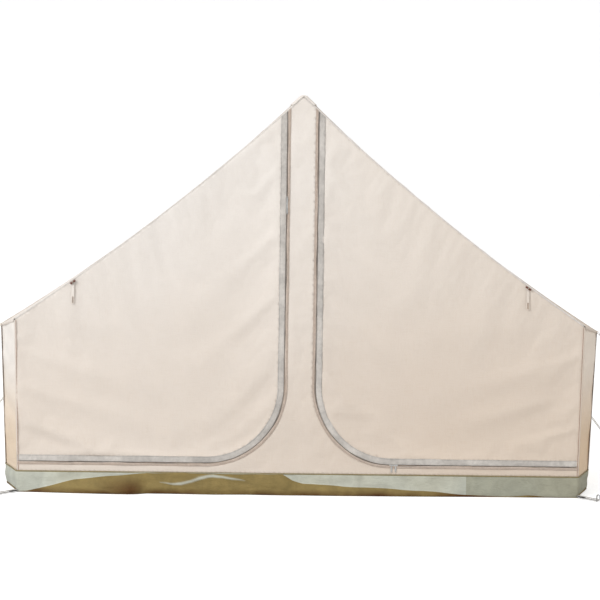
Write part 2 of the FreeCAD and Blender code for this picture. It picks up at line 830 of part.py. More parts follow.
def make_pole():
    inner = S.pole_radius - S.pole_wall
    tube("pole_lower_tube", S.pole_radius, inner, S.pole_base, S.pole_joint_height - 0.1)
    tube("pole_upper_tube", S.pole_radius, inner, S.pole_joint_height + 0.1, S.pole_top)
    half = S.sleeve_long / 2
    bore = S.pole_radius + 0.05
    tube("pole_joint_sleeve", bore + 2, bore, S.pole_joint_height - half, S.pole_joint_height + half)
    low, cup, seat = S.cloth + 0.2, S.pole_radius + 0.1, S.pole_base - 0.2
    turned("pole_foot", [
        (Size(0), low),
        (S.foot_radius, low),
        (S.foot_radius, low + 6),
        (cup + 5, low + 14),
        (cup + 4, S.foot_height),
        (cup, S.foot_height),
        (cup, seat),
        (Size(0), seat),
    ])
    plug, top = inner - 0.1, S.pole_top + 0.1
    turned("pole_top_cap", [
        (Size(0), top - S.cap_plug),
        (plug, top - S.cap_plug),
        (plug, top),
        (S.cap_radius, top),
        (S.cap_radius, top + 9, S.cap_radius * 1.2, 1),
        (Size(3), top + 22),
        (Size(0), top + 22),
    ])


# ---------------------------------------------------------------- guy lines and pegs

GUY_START = eave_corner(0)
SLOPE = math.radians(cell("guy_slope"))
RING_AT = GUY_START.add(vec(math.cos(SLOPE), 0, -math.sin(SLOPE)).multiply(cell("ring_out")))
GUY_LONG = (RING_AT.z - cell("guy_end_height")) / math.sin(SLOPE)
GUY_FRAME = FreeCAD.Placement(RING_AT, FreeCAD.Rotation(Y_AXIS, cell("guy_slope")))


def round_pole(index, placement):
    """The placement turned from corner 0 to another corner of the rear half."""
    return at(turn=math.degrees(corner_angle(index))).multiply(placement)


def rope(name, placement):
    """Guy rope along +X from its ring: eye, whipping, main strand, bend round the peg, tail and knot."""
    gap = cell("strand_gap")
    eye_at = cell("ring_radius") + cell("eye_radius") - cell("ring_wire") - cell("rope_radius") - 0.5
    start = eye_at + cell("eye_radius")
    along = at(axis=Y_AXIS, turn=90)
    tail_from = GUY_LONG - cell("tail_long")
    bend_place = at(GUY_LONG, gap / 2, 0, turn=-90)
    parts = [
        torus(f"{name}_eye", S.eye_radius, S.rope_radius, at(eye_at, 0, 0, X_AXIS, 90)),
        cylinder(f"{name}_whipping", S.whipping_radius, S.whipping_long, at(start - 1).multiply(along)),
        cylinder(f"{name}_main", S.rope_radius, GUY_LONG - start, at(start).multiply(along)),
        torus(f"{name}_bend", S.strand_gap / 2, S.rope_radius, bend_place, 180),
        cylinder(f"{name}_tail", S.rope_radius, S.tail_long, at(tail_from, gap).multiply(along)),
        primitive("Part::Sphere", f"{name}_knot", at(tail_from, gap), Radius=S.knot_radius),
    ]
    whole = fuse(name, *parts)
    whole.Placement = placement
    return whole


def peg(name, length, placement):
    """Round steel peg: the shaft runs down -Z from the origin, the hook bends over towards +X."""
    rise, hook = cell("hook_rise"), cell("hook_radius")
    drop = 10.0
    parts = [
        cylinder(f"{name}_shaft", S.peg_radius, length + S.hook_rise, at(z=-length.number)),
        torus(f"{name}_hook", S.hook_radius, S.peg_radius, at(hook, 0, rise, X_AXIS, 90), 180),
        cylinder(f"{name}_end", S.peg_radius, drop, at(2 * hook, 0, rise - drop)),
        primitive("Part::Cone", f"{name}_tip", at(z=-length.number - cell("peg_tip")), Radius1=0.4,
                  Radius2=S.peg_radius, Height=S.peg_tip),
    ]
    whole = fuse(name, *parts)
    whole.Placement = placement
    return whole


def runner(name, placement):
    """Rounded bar with two bores, one for each strand of its guy rope."""
    body = new_body(name, placement)
    sketch = new_sketch(body, "YZ_Plane")
    middle, flat, deep = S.strand_gap / 2, (S.runner_wide - S.runner_deep) / 2, S.runner_deep / 2
    outline(sketch, [
        (middle - flat, -deep),
        (middle + flat, -deep, deep, 1),
        (middle + flat, deep),
        (middle - flat, deep, deep, 1),
    ])
    for y in (Size(0), S.strand_gap):
        bore = S.runner_bore
        outline(sketch, [(y - bore, Size(0), bore, 1), (y + bore, Size(0), bore, 1)])
    pad(body, sketch, S.runner_long)
    return keep(name, body)


def make_guys():
    loop_half = S.ring_wire + S.webbing + 1.0
    back = cell("ring_out") - loop_half.number - 2.0
    loop_place = GUY_FRAME.multiply(at(-back, cell("guy_loop_wide") / 2, 0, X_AXIS, 90))
    loop_long = Size(back - 2.0)
    peg_place = GUY_FRAME.multiply(at(GUY_LONG, cell("strand_gap") / 2))
    runner_place = GUY_FRAME.multiply(at(GUY_LONG - cell("runner_up")))
    loops, rings, ropes, pegs = [], [], [], []
    for k in range(CORNERS):
        spot = round_pole(k, loop_place)
        loops.append(webbing_band(f"guy_loop_at_{k}", loop_long, loop_half, S.guy_loop_wide, spot))
        rings.append(torus(f"guy_ring_at_{k}", S.ring_radius, S.ring_wire, round_pole(k, GUY_FRAME)))
        ropes.append(rope(f"guy_rope_at_{k}", round_pole(k, GUY_FRAME)))
        pegs.append(peg(f"guy_peg_at_{k}", S.peg_long, round_pole(k, peg_place)))
        runner(f"guy_runner_{k + 1}", round_pole(k, runner_place))
    group("guy_loops", loops)
    group("guy_rings", rings)
    group("guy_ropes", ropes)
    group("guy_pegs", pegs)


# ---------------------------------------------------------------- ground fixings

STRAP_HALF = S.buckle_thick / 2 + S.webbing + 0.3  # end radius of the bands that pass round the buckle's bars
ROUND_BAR = 0.95  # how far a band's end centre stays short of the bar it holds


def corner_frame(side):
    """Frame at a front ground corner, level with its buckle: +X points out along the strap."""
    corner = vec(side * cell("front_base_half"), -cell("front_setback"), cell("corner_level"))
    heading = -cell("corner_heading") if side > 0 else 180 + cell("corner_heading")
    return FreeCAD.Placement(corner, FreeCAD.Rotation(Z_AXIS, heading))


def buckle(name, placement):
    """Ladder-lock buckle: a frame with three cross bars."""
    body = new_body(name, placement)
    sketch = new_sketch(body, "XY_Plane", -cell("buckle_thick") / 2)
    half, inside = S.buckle_wide / 2, S.strap_wide / 2 + 1
    long = S.buckle_bar * 3 + S.buckle_window * 2

    def rectangle(low, high, half_wide):
        outline(sketch, [(low, -half_wide), (high, -half_wide), (high, half_wide), (low, half_wide)])

    rectangle(S.buckle_start, S.buckle_start + long, half)
    for first in (S.buckle_start + S.buckle_bar, S.buckle_start + S.buckle_bar * 2 + S.buckle_window):
        rectangle(first, first + S.buckle_window, inside)
    return pad(body, sketch, S.buckle_thick)


def strap_band(name, start, end, placement):
    """Band of strap between two end centres on the buckle's line."""
    on_edge = at(start.number, cell("strap_wide") / 2, 0, X_AXIS, 90)
    return webbing_band(name, end - start, STRAP_HALF, S.strap_wide, placement.multiply(on_edge))


def make_ground_fixings():
    """Peg loops at the four rear ground corners; tab, buckle, strap and peg at the two front ones."""
    half = S.peg_loop_wide / 2
    out = cell("ground_radius") + half.number + 0.3
    loops, pegs, buckles, straps = [], [], [], []
    for k in range(1, GORES):
        loops.append(webbing_band(f"peg_loop_at_{k}", S.peg_loop_long, half, S.peg_loop_high,
                                  round_pole(k, at(out, 0, 3.0))))
        pegs.append(peg(f"ground_peg_at_{k}", S.peg_long * 0.85,
                        round_pole(k, at(out + cell("peg_loop_long") - 2, 0, 8.0))))

    far = S.strap_reach - STRAP_HALF
    for word, side in SIDES.items():
        frame = corner_frame(side)
        first_bar = S.buckle_start + S.buckle_bar
        second_bar = first_bar + S.buckle_window
        loops.append(strap_band(f"{word}_tab", STRAP_HALF + 0.3, first_bar - ROUND_BAR, frame))
        buckles.append(buckle(f"{word}_buckle", frame))
        sling = strap_band(f"{word}_sling", second_bar + ROUND_BAR, far, frame)
        peg_at = far.number - 9.0
        slot_place = frame.multiply(at(peg_at - 6.0, -4.5, -2 * STRAP_HALF.number))
        slot = cuboid(f"{word}_slot", 12, 9, STRAP_HALF * 4, slot_place)
        straps.append(cut(f"{word}_strap", sling, slot))
        pegs.append(peg(f"{word}_corner_peg", S.peg_long * 0.85, frame.multiply(at(peg_at, 0, 0.5))))
    group("peg_loops", loops)
    group("ground_pegs", pegs)
    group("corner_buckles", buckles)
    group("corner_straps", straps)


# ---------------------------------------------------------------- door ties


def make_door_ties():
    """Toggle in a cord ring and strap with a buttonhole at each roof edge, which hold the rolled door."""
    across = cell("toggle_from_middle")
    edge = top_edge(across)
    slope = math.degrees(math.atan2(top_edge(across - 50) - top_edge(across + 50), 100))
    back = cell("webbing") + 0.2
    out = cell("cord_ring") + cell("cord_radius") + 0.4
    for word, side in SIDES.items():
        lie = FRONT.multiply(at(side * across, -out, edge - cell("toggle_drop"), Y_AXIS, side * slope))
        along = lie.multiply(at(-cell("toggle_long") / 2, 0, 0, Y_AXIS, 90))
        barrel = cylinder(f"{word}_barrel", S.toggle_radius, S.toggle_long, along)
        across_place = lie.multiply(at(axis=Y_AXIS, turn=90))
        groove = torus(f"{word}_groove", S.cord_ring, S.groove_radius, across_place)
        keep(f"{word}_tie_toggle", cut(f"{word}_tie_toggle", barrel, groove))

        cord = torus(f"{word}_cord", S.cord_ring, S.cord_radius, across_place)
        half, long = S.tie_wide / 2, S.tie_long
        strap_top = at(side * across, -back, edge - cell("toggle_drop") + 5)
        strap = new_body(f"{word}_strap_body", FRONT.multiply(strap_top))
        sketch = new_sketch(strap, "XZ_Plane")
        outline(sketch, [(half, Size(0)), (-half, Size(0)), (-half, -long, half, 1), (half, -long)])
        slit = Size(1.5)
        outline(sketch, [(slit, 30 - long.number), (-slit, 30 - long.number), (-slit, 4 - long.number),
                         (slit, 4 - long.number)])
        pad(strap, sketch, S.webbing, reverse=True)
        keep(f"{word}_tie_strap", fuse(f"{word}_tie_strap", strap, cord))


# ---------------------------------------------------------------- build and write


def check_and_write():
    doc.recompute()
    bad = [o.Name for o in doc.Objects if {"Invalid", "Error"} & set(o.State)]
    if bad:
        raise SystemExit(f"objects that failed: {bad}")
    os.makedirs("parts", exist_ok=True)
    for old in os.listdir("parts"):
        os.remove(os.path.join("parts", old))
    for name, feature in NODES.items():
        shape = feature.Shape
        if shape.isNull() or not shape.isValid() or not shape.Solids or shape.Volume <= 0:
            raise SystemExit(f"{name} has no valid solid")
        shape.exportStep(f"parts/{name}.step")
    print(len(NODES), "nodes written")


make_roof()
make_apex_cap()
make_walls()
make_groundsheet()
make_seam_tapes()
make_front()
make_sliders()
make_pole()
make_guys()
make_ground_fixings()
make_door_ties()
check_and_write()
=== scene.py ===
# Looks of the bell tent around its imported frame. Metres, +Z up, and the flat front wall faces -Y.
import json
import math

import bmesh
import bpy
import numpy as np
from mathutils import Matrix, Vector, noise
from mathutils.geometry import delaunay_2d_cdt

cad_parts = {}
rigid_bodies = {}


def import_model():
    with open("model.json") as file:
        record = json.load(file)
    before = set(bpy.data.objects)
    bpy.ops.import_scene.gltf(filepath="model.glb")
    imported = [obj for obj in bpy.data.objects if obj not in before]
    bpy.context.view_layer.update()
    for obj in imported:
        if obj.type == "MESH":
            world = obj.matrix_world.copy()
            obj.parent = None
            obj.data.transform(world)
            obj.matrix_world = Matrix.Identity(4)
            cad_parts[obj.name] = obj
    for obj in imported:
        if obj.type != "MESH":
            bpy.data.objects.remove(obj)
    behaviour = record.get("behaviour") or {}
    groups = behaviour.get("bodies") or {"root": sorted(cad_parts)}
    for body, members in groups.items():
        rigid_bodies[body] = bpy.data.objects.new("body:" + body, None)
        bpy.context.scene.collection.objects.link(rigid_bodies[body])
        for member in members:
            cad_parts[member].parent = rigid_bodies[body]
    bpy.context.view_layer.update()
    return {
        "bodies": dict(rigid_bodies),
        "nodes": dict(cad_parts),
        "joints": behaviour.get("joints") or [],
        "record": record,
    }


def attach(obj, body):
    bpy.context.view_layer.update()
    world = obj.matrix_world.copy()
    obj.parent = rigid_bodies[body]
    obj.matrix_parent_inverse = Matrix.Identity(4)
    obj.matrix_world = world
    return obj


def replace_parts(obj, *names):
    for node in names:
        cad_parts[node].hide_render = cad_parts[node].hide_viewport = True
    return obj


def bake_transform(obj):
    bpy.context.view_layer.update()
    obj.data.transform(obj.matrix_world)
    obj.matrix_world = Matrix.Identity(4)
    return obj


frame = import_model()
scene = bpy.context.scene
SIDES = {"left": -1, "right": 1}

# ---------------------------------------------------------------- shape of the tent

EAVE_RADIUS = 1.500
GROUND_RADIUS = 1.475
APEX_HEIGHT = 1.980
EAVE_HEIGHT = 0.813
SETBACK = 0.200
APEX_SETBACK = 0.024
FRONT_APEX_HEIGHT = 1.970
BASE_HALF = 1.390
SHOULDER_HALF = 1.416
SHOULDER_HEIGHT = 0.850
FRONT_SAG = 0.034
HIP_SAG = 0.050
GORE_STEP = math.radians(36)
GORES = 5
APEX_RING = 0.040
CAP_REACH = 0.064
TUB_HEIGHT = 0.103
ZIP_OFFSET = 0.075
ZIP_SILL = 0.150
ZIP_BEND = 0.385

LEAN = math.atan2(SETBACK - APEX_SETBACK, APEX_HEIGHT)
WALL_UP = np.array([0.0, math.sin(LEAN), math.cos(LEAN)])
WALL_IN = np.array([0.0, math.cos(LEAN), -math.sin(LEAN)])
ACROSS = np.array([1.0, 0.0, 0.0])
FRONT_APEX = (0.0, FRONT_APEX_HEIGHT / math.cos(LEAN))
SHOULDER = (SHOULDER_HALF, SHOULDER_HEIGHT / math.cos(LEAN))
BEND_OUT = ZIP_OFFSET + ZIP_BEND
BEND_UP = ZIP_SILL + ZIP_BEND


def front(across, up, depth=0.0):
    """Point or points of the leaning front wall; depth goes into the tent."""
    across, up, depth = (np.asarray(v, float)[..., None] for v in (across, up, depth))
    return across * ACROSS + up * WALL_UP + depth * WALL_IN + np.array([0.0, -SETBACK, 0.0])


def sag_arc():
    """Centre and radius of the front wall's sagging top edge, right-hand side, in the wall's plane."""
    (x_a, z_a), (x_b, z_b) = FRONT_APEX, SHOULDER
    chord = math.hypot(x_b - x_a, z_b - z_a)
    radius = chord**2 / (8 * FRONT_SAG) + FRONT_SAG / 2
    reach = (radius - FRONT_SAG) / chord
    return ((x_a + x_b) / 2 + (z_a - z_b) * reach, (z_a + z_b) / 2 + (x_b - x_a) * reach), radius


TOP_CENTRE, TOP_RADIUS = sag_arc()


def top_edge(across):
    return TOP_CENTRE[1] - np.sqrt(TOP_RADIUS**2 - (np.abs(across) - TOP_CENTRE[0]) ** 2)


def seam_across(up):
    return BASE_HALF + up / SHOULDER[1] * (SHOULDER_HALF - BASE_HALF)


def hip(k, share):
    """Points of hip seam k from the apex at share 0 to its eave corner at share 1."""
    angle = k * GORE_STEP
    radial = np.array([math.cos(angle), math.sin(angle), 0.0])
    chord = radial * EAVE_RADIUS - np.array([0.0, 0.0, APEX_HEIGHT - EAVE_HEIGHT])
    long = np.linalg.norm(chord)
    normal = radial * (-chord[2] / long) + np.array([0.0, 0.0, EAVE_RADIUS / long])
    share = np.asarray(share, float)[..., None]
    return np.array([0.0, 0.0, APEX_HEIGHT]) + chord * share - normal * 4 * share * (1 - share) * HIP_SAG


def wall_corner(k, height, out=0.0):
    """Points of rear wall seam k at heights; out moves them away from the pole."""
    height = np.asarray(height, float)[..., None]
    radius = GROUND_RADIUS + height / EAVE_HEIGHT * (EAVE_RADIUS - GROUND_RADIUS) + out
    radial = np.array([math.cos(k * GORE_STEP), math.sin(k * GORE_STEP), 0.0])
    return radial * radius + height * np.array([0.0, 0.0, 1.0])


# ---------------------------------------------------------------- mesh helpers


def mesh_object(name, points, faces, smooth=True):
    mesh = bpy.data.meshes.new(name)
    mesh.from_pydata([tuple(p) for p in points], [], [tuple(int(i) for i in f) for f in faces])
    mesh.validate()
    mesh.polygons.foreach_set("use_smooth", [smooth] * len(mesh.polygons))
    obj = bpy.data.objects.new(name, mesh)
    scene.collection.objects.link(obj)
    return obj


def set_pattern(obj, flat):
    """Stores each vertex's place on the flat cloth, so that the weave follows the threads."""
    layer = obj.data.attributes.new("pattern", "FLOAT_VECTOR", "POINT")
    values = np.zeros((len(obj.data.vertices), 3), np.float32)
    values[:, : flat.shape[1]] = flat
    layer.data.foreach_set("vector", values.ravel())


def set_shade(obj, values):
    layer = obj.data.attributes.new("shade", "FLOAT", "POINT")
    layer.data.foreach_set("value", np.asarray(values, np.float32))


def points_of(mesh):
    flat = np.empty(len(mesh.vertices) * 3, np.float32)
    mesh.vertices.foreach_get("co", flat)
    return flat.reshape(-1, 3).astype(float)


def move_points(obj, points):
    obj.data.vertices.foreach_set("co", points.astype(np.float32).ravel())
    obj.data.update()


def bake_modifiers(obj):
    """Replaces an object's mesh with the result of its modifiers."""
    bpy.context.view_layer.update()
    graph = bpy.context.evaluated_depsgraph_get()
    shaped = obj.evaluated_get(graph)
    mesh = bpy.data.meshes.new_from_object(shaped, preserve_all_data_layers=True, depsgraph=graph)
    obj.modifiers.clear()
    obj.data = mesh


def thicken(obj, thickness, smoother=0, offset=0.0):
    if smoother:
        obj.modifiers.new("smoother", "SUBSURF").levels = smoother
    shell = obj.modifiers.new("cloth", "SOLIDIFY")
    shell.thickness = thickness
    shell.offset = offset
    bake_modifiers(obj)
    obj.data.polygons.foreach_set("use_smooth", [True] * len(obj.data.polygons))


def unit(vectors):
    return vectors / np.maximum(np.linalg.norm(vectors, axis=-1, keepdims=True), 1e-12)


def resample(line, step):
    """Points along an open polyline at even spacing near step, its two ends kept."""
    line = np.asarray(line, float)
    gaps = np.linalg.norm(np.diff(line, axis=0), axis=1)
    along = np.concatenate([[0.0], np.cumsum(gaps)])
    count = max(1, round(along[-1] / step))
    wanted = np.linspace(0, along[-1], count + 1)
    return np.stack([np.interp(wanted, along, line[:, i]) for i in range(line.shape[1])], axis=1)


def close_outline(edges, step):
    """One closed outline from edges that meet end to end, each resampled and its last point left out."""
    return np.concatenate([resample(edge, step)[:-1] for edge in edges])


def inside_distance(points, outline):
    """Distance of points to the outline, negative outside it."""
    a, b = outline, np.roll(outline, -1, axis=0)
    inside = np.zeros(len(points), bool)
    near = np.full(len(points), 1e9)
    for (ax, ay), (bx, by) in zip(a, b):
        straddles = (ay > points[:, 1]) != (by > points[:, 1])
        if ay != by:
            crossing = ax + (points[:, 1] - ay) / (by - ay) * (bx - ax)
            inside ^= straddles & (points[:, 0] < crossing)
        edge = np.array([bx - ax, by - ay])
        share = np.clip(((points - (ax, ay)) @ edge) / max(edge @ edge, 1e-12), 0, 1)
        near = np.minimum(near, np.linalg.norm(points - (ax, ay) - share[:, None] * edge, axis=1))
    return np.where(inside, near, -near)


def triangulate(points, edges):
    out = delaunay_2d_cdt([Vector(p) for p in points], edges, [], 1, 1e-7)
    if len(out[0]) != len(points):
        raise ValueError("the cloth's outline crosses itself")
    return out[2]


def flat_cloth(outline, cell):
    """Even triangles inside an outline. Returns points, faces and which points are on the outline."""
    low, high = outline.min(0), outline.max(0)
    rise = cell * math.sqrt(3) / 2
    rows = []
    for j in range(int((high[1] - low[1]) / rise) + 1):
        xs = np.arange(low[0] + (j % 2) * cell / 2, high[0], cell)
        rows.append(np.stack([xs, np.full(len(xs), low[1] + j * rise)], axis=1))
    grid = np.concatenate(rows)
    grid = grid[inside_distance(grid, outline) > cell * 0.5]
    points = np.concatenate([outline, grid])
    count = len(outline)
    faces = triangulate(points, [(i, (i + 1) % count) for i in range(count)])
    return points, faces, np.arange(len(points)) < count


def rail_cloth(rails, flats, cell):
    """Even triangles between rails. rails are arrays of points and flats their places on the flat cloth, row
    by row. Returns points, flat points, faces and which points are on a rail or on the first or last row."""
    rows = len(rails[0])
    spots = [point for rail in rails for point in rail]
    flat = [point for rail in flats for point in rail]
    fixed = [True] * len(spots)
    edges = [(r * rows + j - 1, r * rows + j) for r in range(len(rails)) for j in range(1, rows)]
    for r in range(len(rails) - 1):
        for j in range(rows):
            at_end = j in (0, rows - 1)
            count = max(1, round(np.linalg.norm(rails[r + 1][j] - rails[r][j]) / cell))
            shares = (np.arange(count - 1) + 1) / count
            if j % 2 and not at_end:
                shares = (np.arange(count) + 0.5) / count
            line = [r * rows + j, *range(len(spots), len(spots) + len(shares)), (r + 1) * rows + j]
            for share in shares:
                spots.append(rails[r][j] * (1 - share) + rails[r + 1][j] * share)
                flat.append(flats[r][j] * (1 - share) + flats[r + 1][j] * share)
                fixed.append(at_end)
            if at_end:
                edges.extend(zip(line[:-1], line[1:]))
    flat = np.array(flat)
    return np.array(spots), flat, triangulate(flat, edges), np.array(fixed)


def loft(name, rings, closed=False, caps=True, smooth=True):
    """Mesh through rings of the same number of points; closed joins the last ring to the first."""
    rings = np.asarray(rings, float)
    count, around = rings.shape[:2]
    faces = []
    for i in range(count if closed else count - 1):
        a, b = i * around, ((i + 1) % count) * around
        faces += [(a + k, a + (k + 1) % around, b + (k + 1) % around, b + k) for k in range(around)]
    if caps and not closed:
        faces.append(tuple(reversed(range(around))))
        faces.append(tuple((count - 1) * around + k for k in range(around)))
    obj = mesh_object(name, rings.reshape(-1, 3), faces, smooth)
    face_outwards(obj)
    return obj


def face_outwards(obj):
    shell = bmesh.new()
    shell.from_mesh(obj.data)
    bmesh.ops.recalc_face_normals(shell, faces=shell.faces)
    shell.to_mesh(obj.data)
    shell.free()


def band_section(half_wide, half_thick):
    """Half of each point's way across a flat band and out of its face, for a band with softened edges."""
    edge = min(half_wide, half_thick * 2) * 0.5
    top = [
        (-half_wide + edge * 0.4, half_thick * 0.8),
        (-half_wide + edge, half_thick),
        (0.0, half_thick),
        (half_wide - edge, half_thick),
        (half_wide - edge * 0.4, half_thick * 0.8),
    ]
    return [(-half_wide, 0.0), *top, (half_wide, 0.0), *((across, -out) for across, out in reversed(top))]


def band_rings(centres, sides, outs, wide, thick, fold=0.0):
    """Rings of a flat band: sides point across it and outs out of its face. fold bends its edges back, as
    over a ridge."""
    section = band_section(wide / 2, thick / 2)
    rings = [centres + sides * across + outs * (out - abs(across) * fold) for across, out in section]
    return np.stack(rings, axis=1)


def merge(name, objs):
    """Joins mesh objects into the first one's place under a new name."""
    points, faces, smooth, base = [], [], [], 0
    for obj in objs:
        points.append(points_of(obj.data))
        faces += [tuple(base + v for v in p.vertices) for p in obj.data.polygons]
        smooth += [p.use_smooth for p in obj.data.polygons]
        base += len(obj.data.vertices)
        bpy.data.objects.remove(obj)
    whole = mesh_object(name, np.concatenate(points), faces)
    whole.data.polygons.foreach_set("use_smooth", smooth)
    return whole


def wobble(points, scale, size, seed):
    """Smooth noise of about +-size, one number for each point."""
    shift = Vector((seed * 7.3, seed * 3.1, seed * 5.7))
    return np.array([noise.noise(Vector(p) * scale + shift) for p in points]) * size


# ---------------------------------------------------------------- materials


class Shader:
    """Builds one node material with a Principled shader."""

    def __init__(self, name):
        self.material = bpy.data.materials.new(name)
        self.material.use_nodes = True
        self.nodes = self.material.node_tree.nodes
        self.links = self.material.node_tree.links
        self.main = self.nodes["Principled BSDF"]
        self.spot = self.nodes.new("ShaderNodeTexCoord").outputs["Object"]

    def node(self, kind, **values):
        made = self.nodes.new("ShaderNode" + kind)
        for key, value in values.items():
            setattr(made, key, value)
        return made

    def pattern(self):
        """Coordinates on the flat cloth."""
        return self.node("Attribute", attribute_name="pattern").outputs["Vector"]

    def scaled(self, source, scale):
        made = self.node("Mapping")
        made.inputs["Scale"].default_value = scale
        self.links.new(source, made.inputs["Vector"])
        return made.outputs["Vector"]

    def noise(self, source, scale, detail=3.0, rough=0.55, distortion=0.0):
        made = self.node("TexNoise")
        settings = {"Scale": scale, "Detail": detail, "Roughness": rough, "Distortion": distortion}
        for key, value in settings.items():
            made.inputs[key].default_value = value
        self.links.new(source, made.inputs["Vector"])
        return made.outputs["Fac"]

    def wave(self, source, scale, direction, distortion=0.0):
        made = self.node("TexWave", bands_direction=direction)
        made.inputs["Scale"].default_value = scale
        made.inputs["Distortion"].default_value = distortion
        made.inputs["Detail"].default_value = 1.0
        self.links.new(source, made.inputs["Vector"])
        return made.outputs["Fac"]

    def fill(self, socket, value):
        """Puts a number, a colour or another node's output into a socket."""
        if isinstance(value, (int, float)):
            socket.default_value = value
        elif isinstance(value, tuple):
            socket.default_value = (*value, 1)
        else:
            self.links.new(value, socket)

    def math(self, operation, a, b):
        made = self.node("Math", operation=operation)
        self.fill(made.inputs[0], a)
        self.fill(made.inputs[1], b)
        return made.outputs[0]

    def ramp(self, source, low, high, dark, light):
        """Maps source from low..high to the colours dark..light."""
        made = self.node("ValToRGB")
        ends = made.color_ramp.elements
        ends[0].position, ends[1].position = low, high
        ends[0].color, ends[1].color = (*dark, 1), (*light, 1)
        self.links.new(source, made.inputs["Fac"])
        return made.outputs["Color"]

    def share(self, axis, start, end):
        """0 where an object coordinate is at start, 1 where it is at end, smooth between them."""
        place = self.node("SeparateXYZ")
        self.links.new(self.spot, place.inputs[0])
        made = self.node("MapRange", interpolation_type="SMOOTHSTEP")
        made.inputs["From Min"].default_value = start
        made.inputs["From Max"].default_value = end
        self.links.new(place.outputs[axis], made.inputs["Value"])
        return made.outputs["Result"]

    def mix(self, factor, a, b, blend="MIX"):
        made = self.node("MixRGB", blend_type=blend)
        for socket, value in zip(made.inputs, (factor, a, b)):
            self.fill(socket, value)
        return made.outputs["Color"]

    def bump(self, height, strength, distance, below=None):
        made = self.node("Bump")
        made.inputs["Strength"].default_value = strength
        made.inputs["Distance"].default_value = distance
        self.links.new(height, made.inputs["Height"])
        if below is not None:
            self.links.new(below, made.inputs["Normal"])
        return made.outputs["Normal"]

    def finish(self, colour, rough, normal=None, gloss=None, **values):
        named = {"Base Color": colour, "Roughness": rough, "Normal": normal, "Specular IOR Level": gloss}
        named |= {key.replace("_", " "): value for key, value in values.items()}
        for key, value in named.items():
            if value is not None:
                self.fill(self.main.inputs[key], value)
        return self.material


def shade_of(colour, factor):
    return tuple(min(1.0, c * factor) for c in colour)


def canvas_material(name, colour, shaded_side, low, fade):
    """Plain-woven cotton canvas: threads both ways, slubs, faint mottling and fine crumples. colour is its
    own tone, and the colour passed after it is painted shade, which it turns to in random patches towards its
    right side, away from the key light; low is painted shade that darkens and warms it near the ground, and
    fade is the heights between which that changes."""
    s = Shader(name)
    flat = s.pattern()
    warp = s.wave(flat, 260.0, "X", 0.4)
    weft = s.wave(flat, 260.0, "Y", 0.4)
    weave = s.math("MAXIMUM", warp, weft)
    slub_x = s.noise(s.scaled(flat, (14.0, 520.0, 1.0)), 1.0, 2.0)
    slub_y = s.noise(s.scaled(flat, (520.0, 14.0, 1.0)), 1.0, 2.0)
    slubs = s.math("ADD", slub_x, slub_y)
    mottle = s.noise(s.spot, 9.0, 5.0, 0.6, 0.3)
    crumple = s.noise(s.spot, 34.0, 4.0, 0.62, 0.6)
    tone = s.ramp(mottle, 0.30, 0.72, shade_of(colour, 0.965), shade_of(colour, 1.025))
    patch = s.math("MULTIPLY", s.noise(s.spot, 1.7, 2.0, 0.5, 0.4), 0.5)
    # painted shade: the canvas turns darker and warmer towards its right side, away from the key light, in
    # random patches
    tone = s.mix(s.math("ADD", s.math("MULTIPLY", s.share("X", -1.0, 1.5), 0.85), patch), tone, shaded_side)
    # painted shade: the canvas turns darker and warmer towards the ground
    tone = s.mix(s.share("Z", fade[1], fade[0]), tone, low, "MULTIPLY")
    tone = s.mix(0.5, tone, s.ramp(slubs, 0.7, 1.3, (0.44, 0.44, 0.44), (0.56, 0.56, 0.56)), "OVERLAY")
    tone = s.mix(0.16, tone, s.ramp(weave, 0.2, 0.9, (0.5, 0.48, 0.45), (1, 1, 1)), "MULTIPLY")
    fine = s.bump(weave, 0.25, 0.0006)
    normal = s.bump(crumple, 0.16, 0.006, s.bump(slubs, 0.2, 0.0009, fine))
    rough = s.math("ADD", s.math("MULTIPLY", mottle, 0.14), 0.78)
    return s.finish(tone, rough, normal, gloss=0.25, Sheen_Weight=0.06, Sheen_Roughness=0.6)


def webbing_material(name, colour, pitch=360.0, uneven=0.0):
    """Ribbed woven tape; uneven is how much lighter and darker it gets along its length."""
    s = Shader(name)
    ribs = s.wave(s.spot, pitch, "DIAGONAL", 0.3)
    cross = s.wave(s.spot, pitch * 0.8, "Z", 0.5)
    grain = s.math("ADD", s.math("MULTIPLY", ribs, 0.6), s.math("MULTIPLY", cross, 0.4))
    worn = s.noise(s.spot, 60.0, 4.0)
    tone = s.ramp(worn, 0.3, 0.75, shade_of(colour, 0.86), shade_of(colour, 1.08))
    tone = s.mix(0.3, tone, s.ramp(grain, 0.1, 0.9, (0.6, 0.6, 0.6), (1, 1, 1)), "MULTIPLY")
    if uneven:
        low, high = (1.0 - uneven,) * 3, (1.0 + uneven,) * 3
        tone = s.mix(1.0, tone, s.ramp(s.noise(s.spot, 7.0, 3.0, 0.6), 0.32, 0.68, low, high), "MULTIPLY")
    return s.finish(tone, 0.8, s.bump(grain, 0.45, 0.0008), Sheen_Weight=0.1)


def metal_material(name, colour, rough, scratch=300.0, spangle=0.0):
    """Plated steel with fine scratches, and zinc spangles if asked for."""
    s = Shader(name)
    streaks = s.noise(s.scaled(s.spot, (1.0, 1.0, 0.06)), scratch, 3.0)
    blotch = s.noise(s.spot, 45.0, 4.0, 0.6, 0.2)
    tone = s.ramp(blotch, 0.3, 0.75, shade_of(colour, 0.82), shade_of(colour, 1.08))
    if spangle:
        cells = s.node("TexVoronoi")
        cells.inputs["Scale"].default_value = spangle
        s.links.new(s.spot, cells.inputs["Vector"])
        plates = s.ramp(cells.outputs["Distance"], 0.0, 0.8, (0.82, 0.82, 0.82), (1, 1, 1))
        tone = s.mix(0.55, tone, plates, "MULTIPLY")
    roughness = s.math("ADD", s.math("MULTIPLY", streaks, 0.22), rough)
    return s.finish(tone, roughness, s.bump(streaks, 0.08, 0.0003), Metallic=1.0)


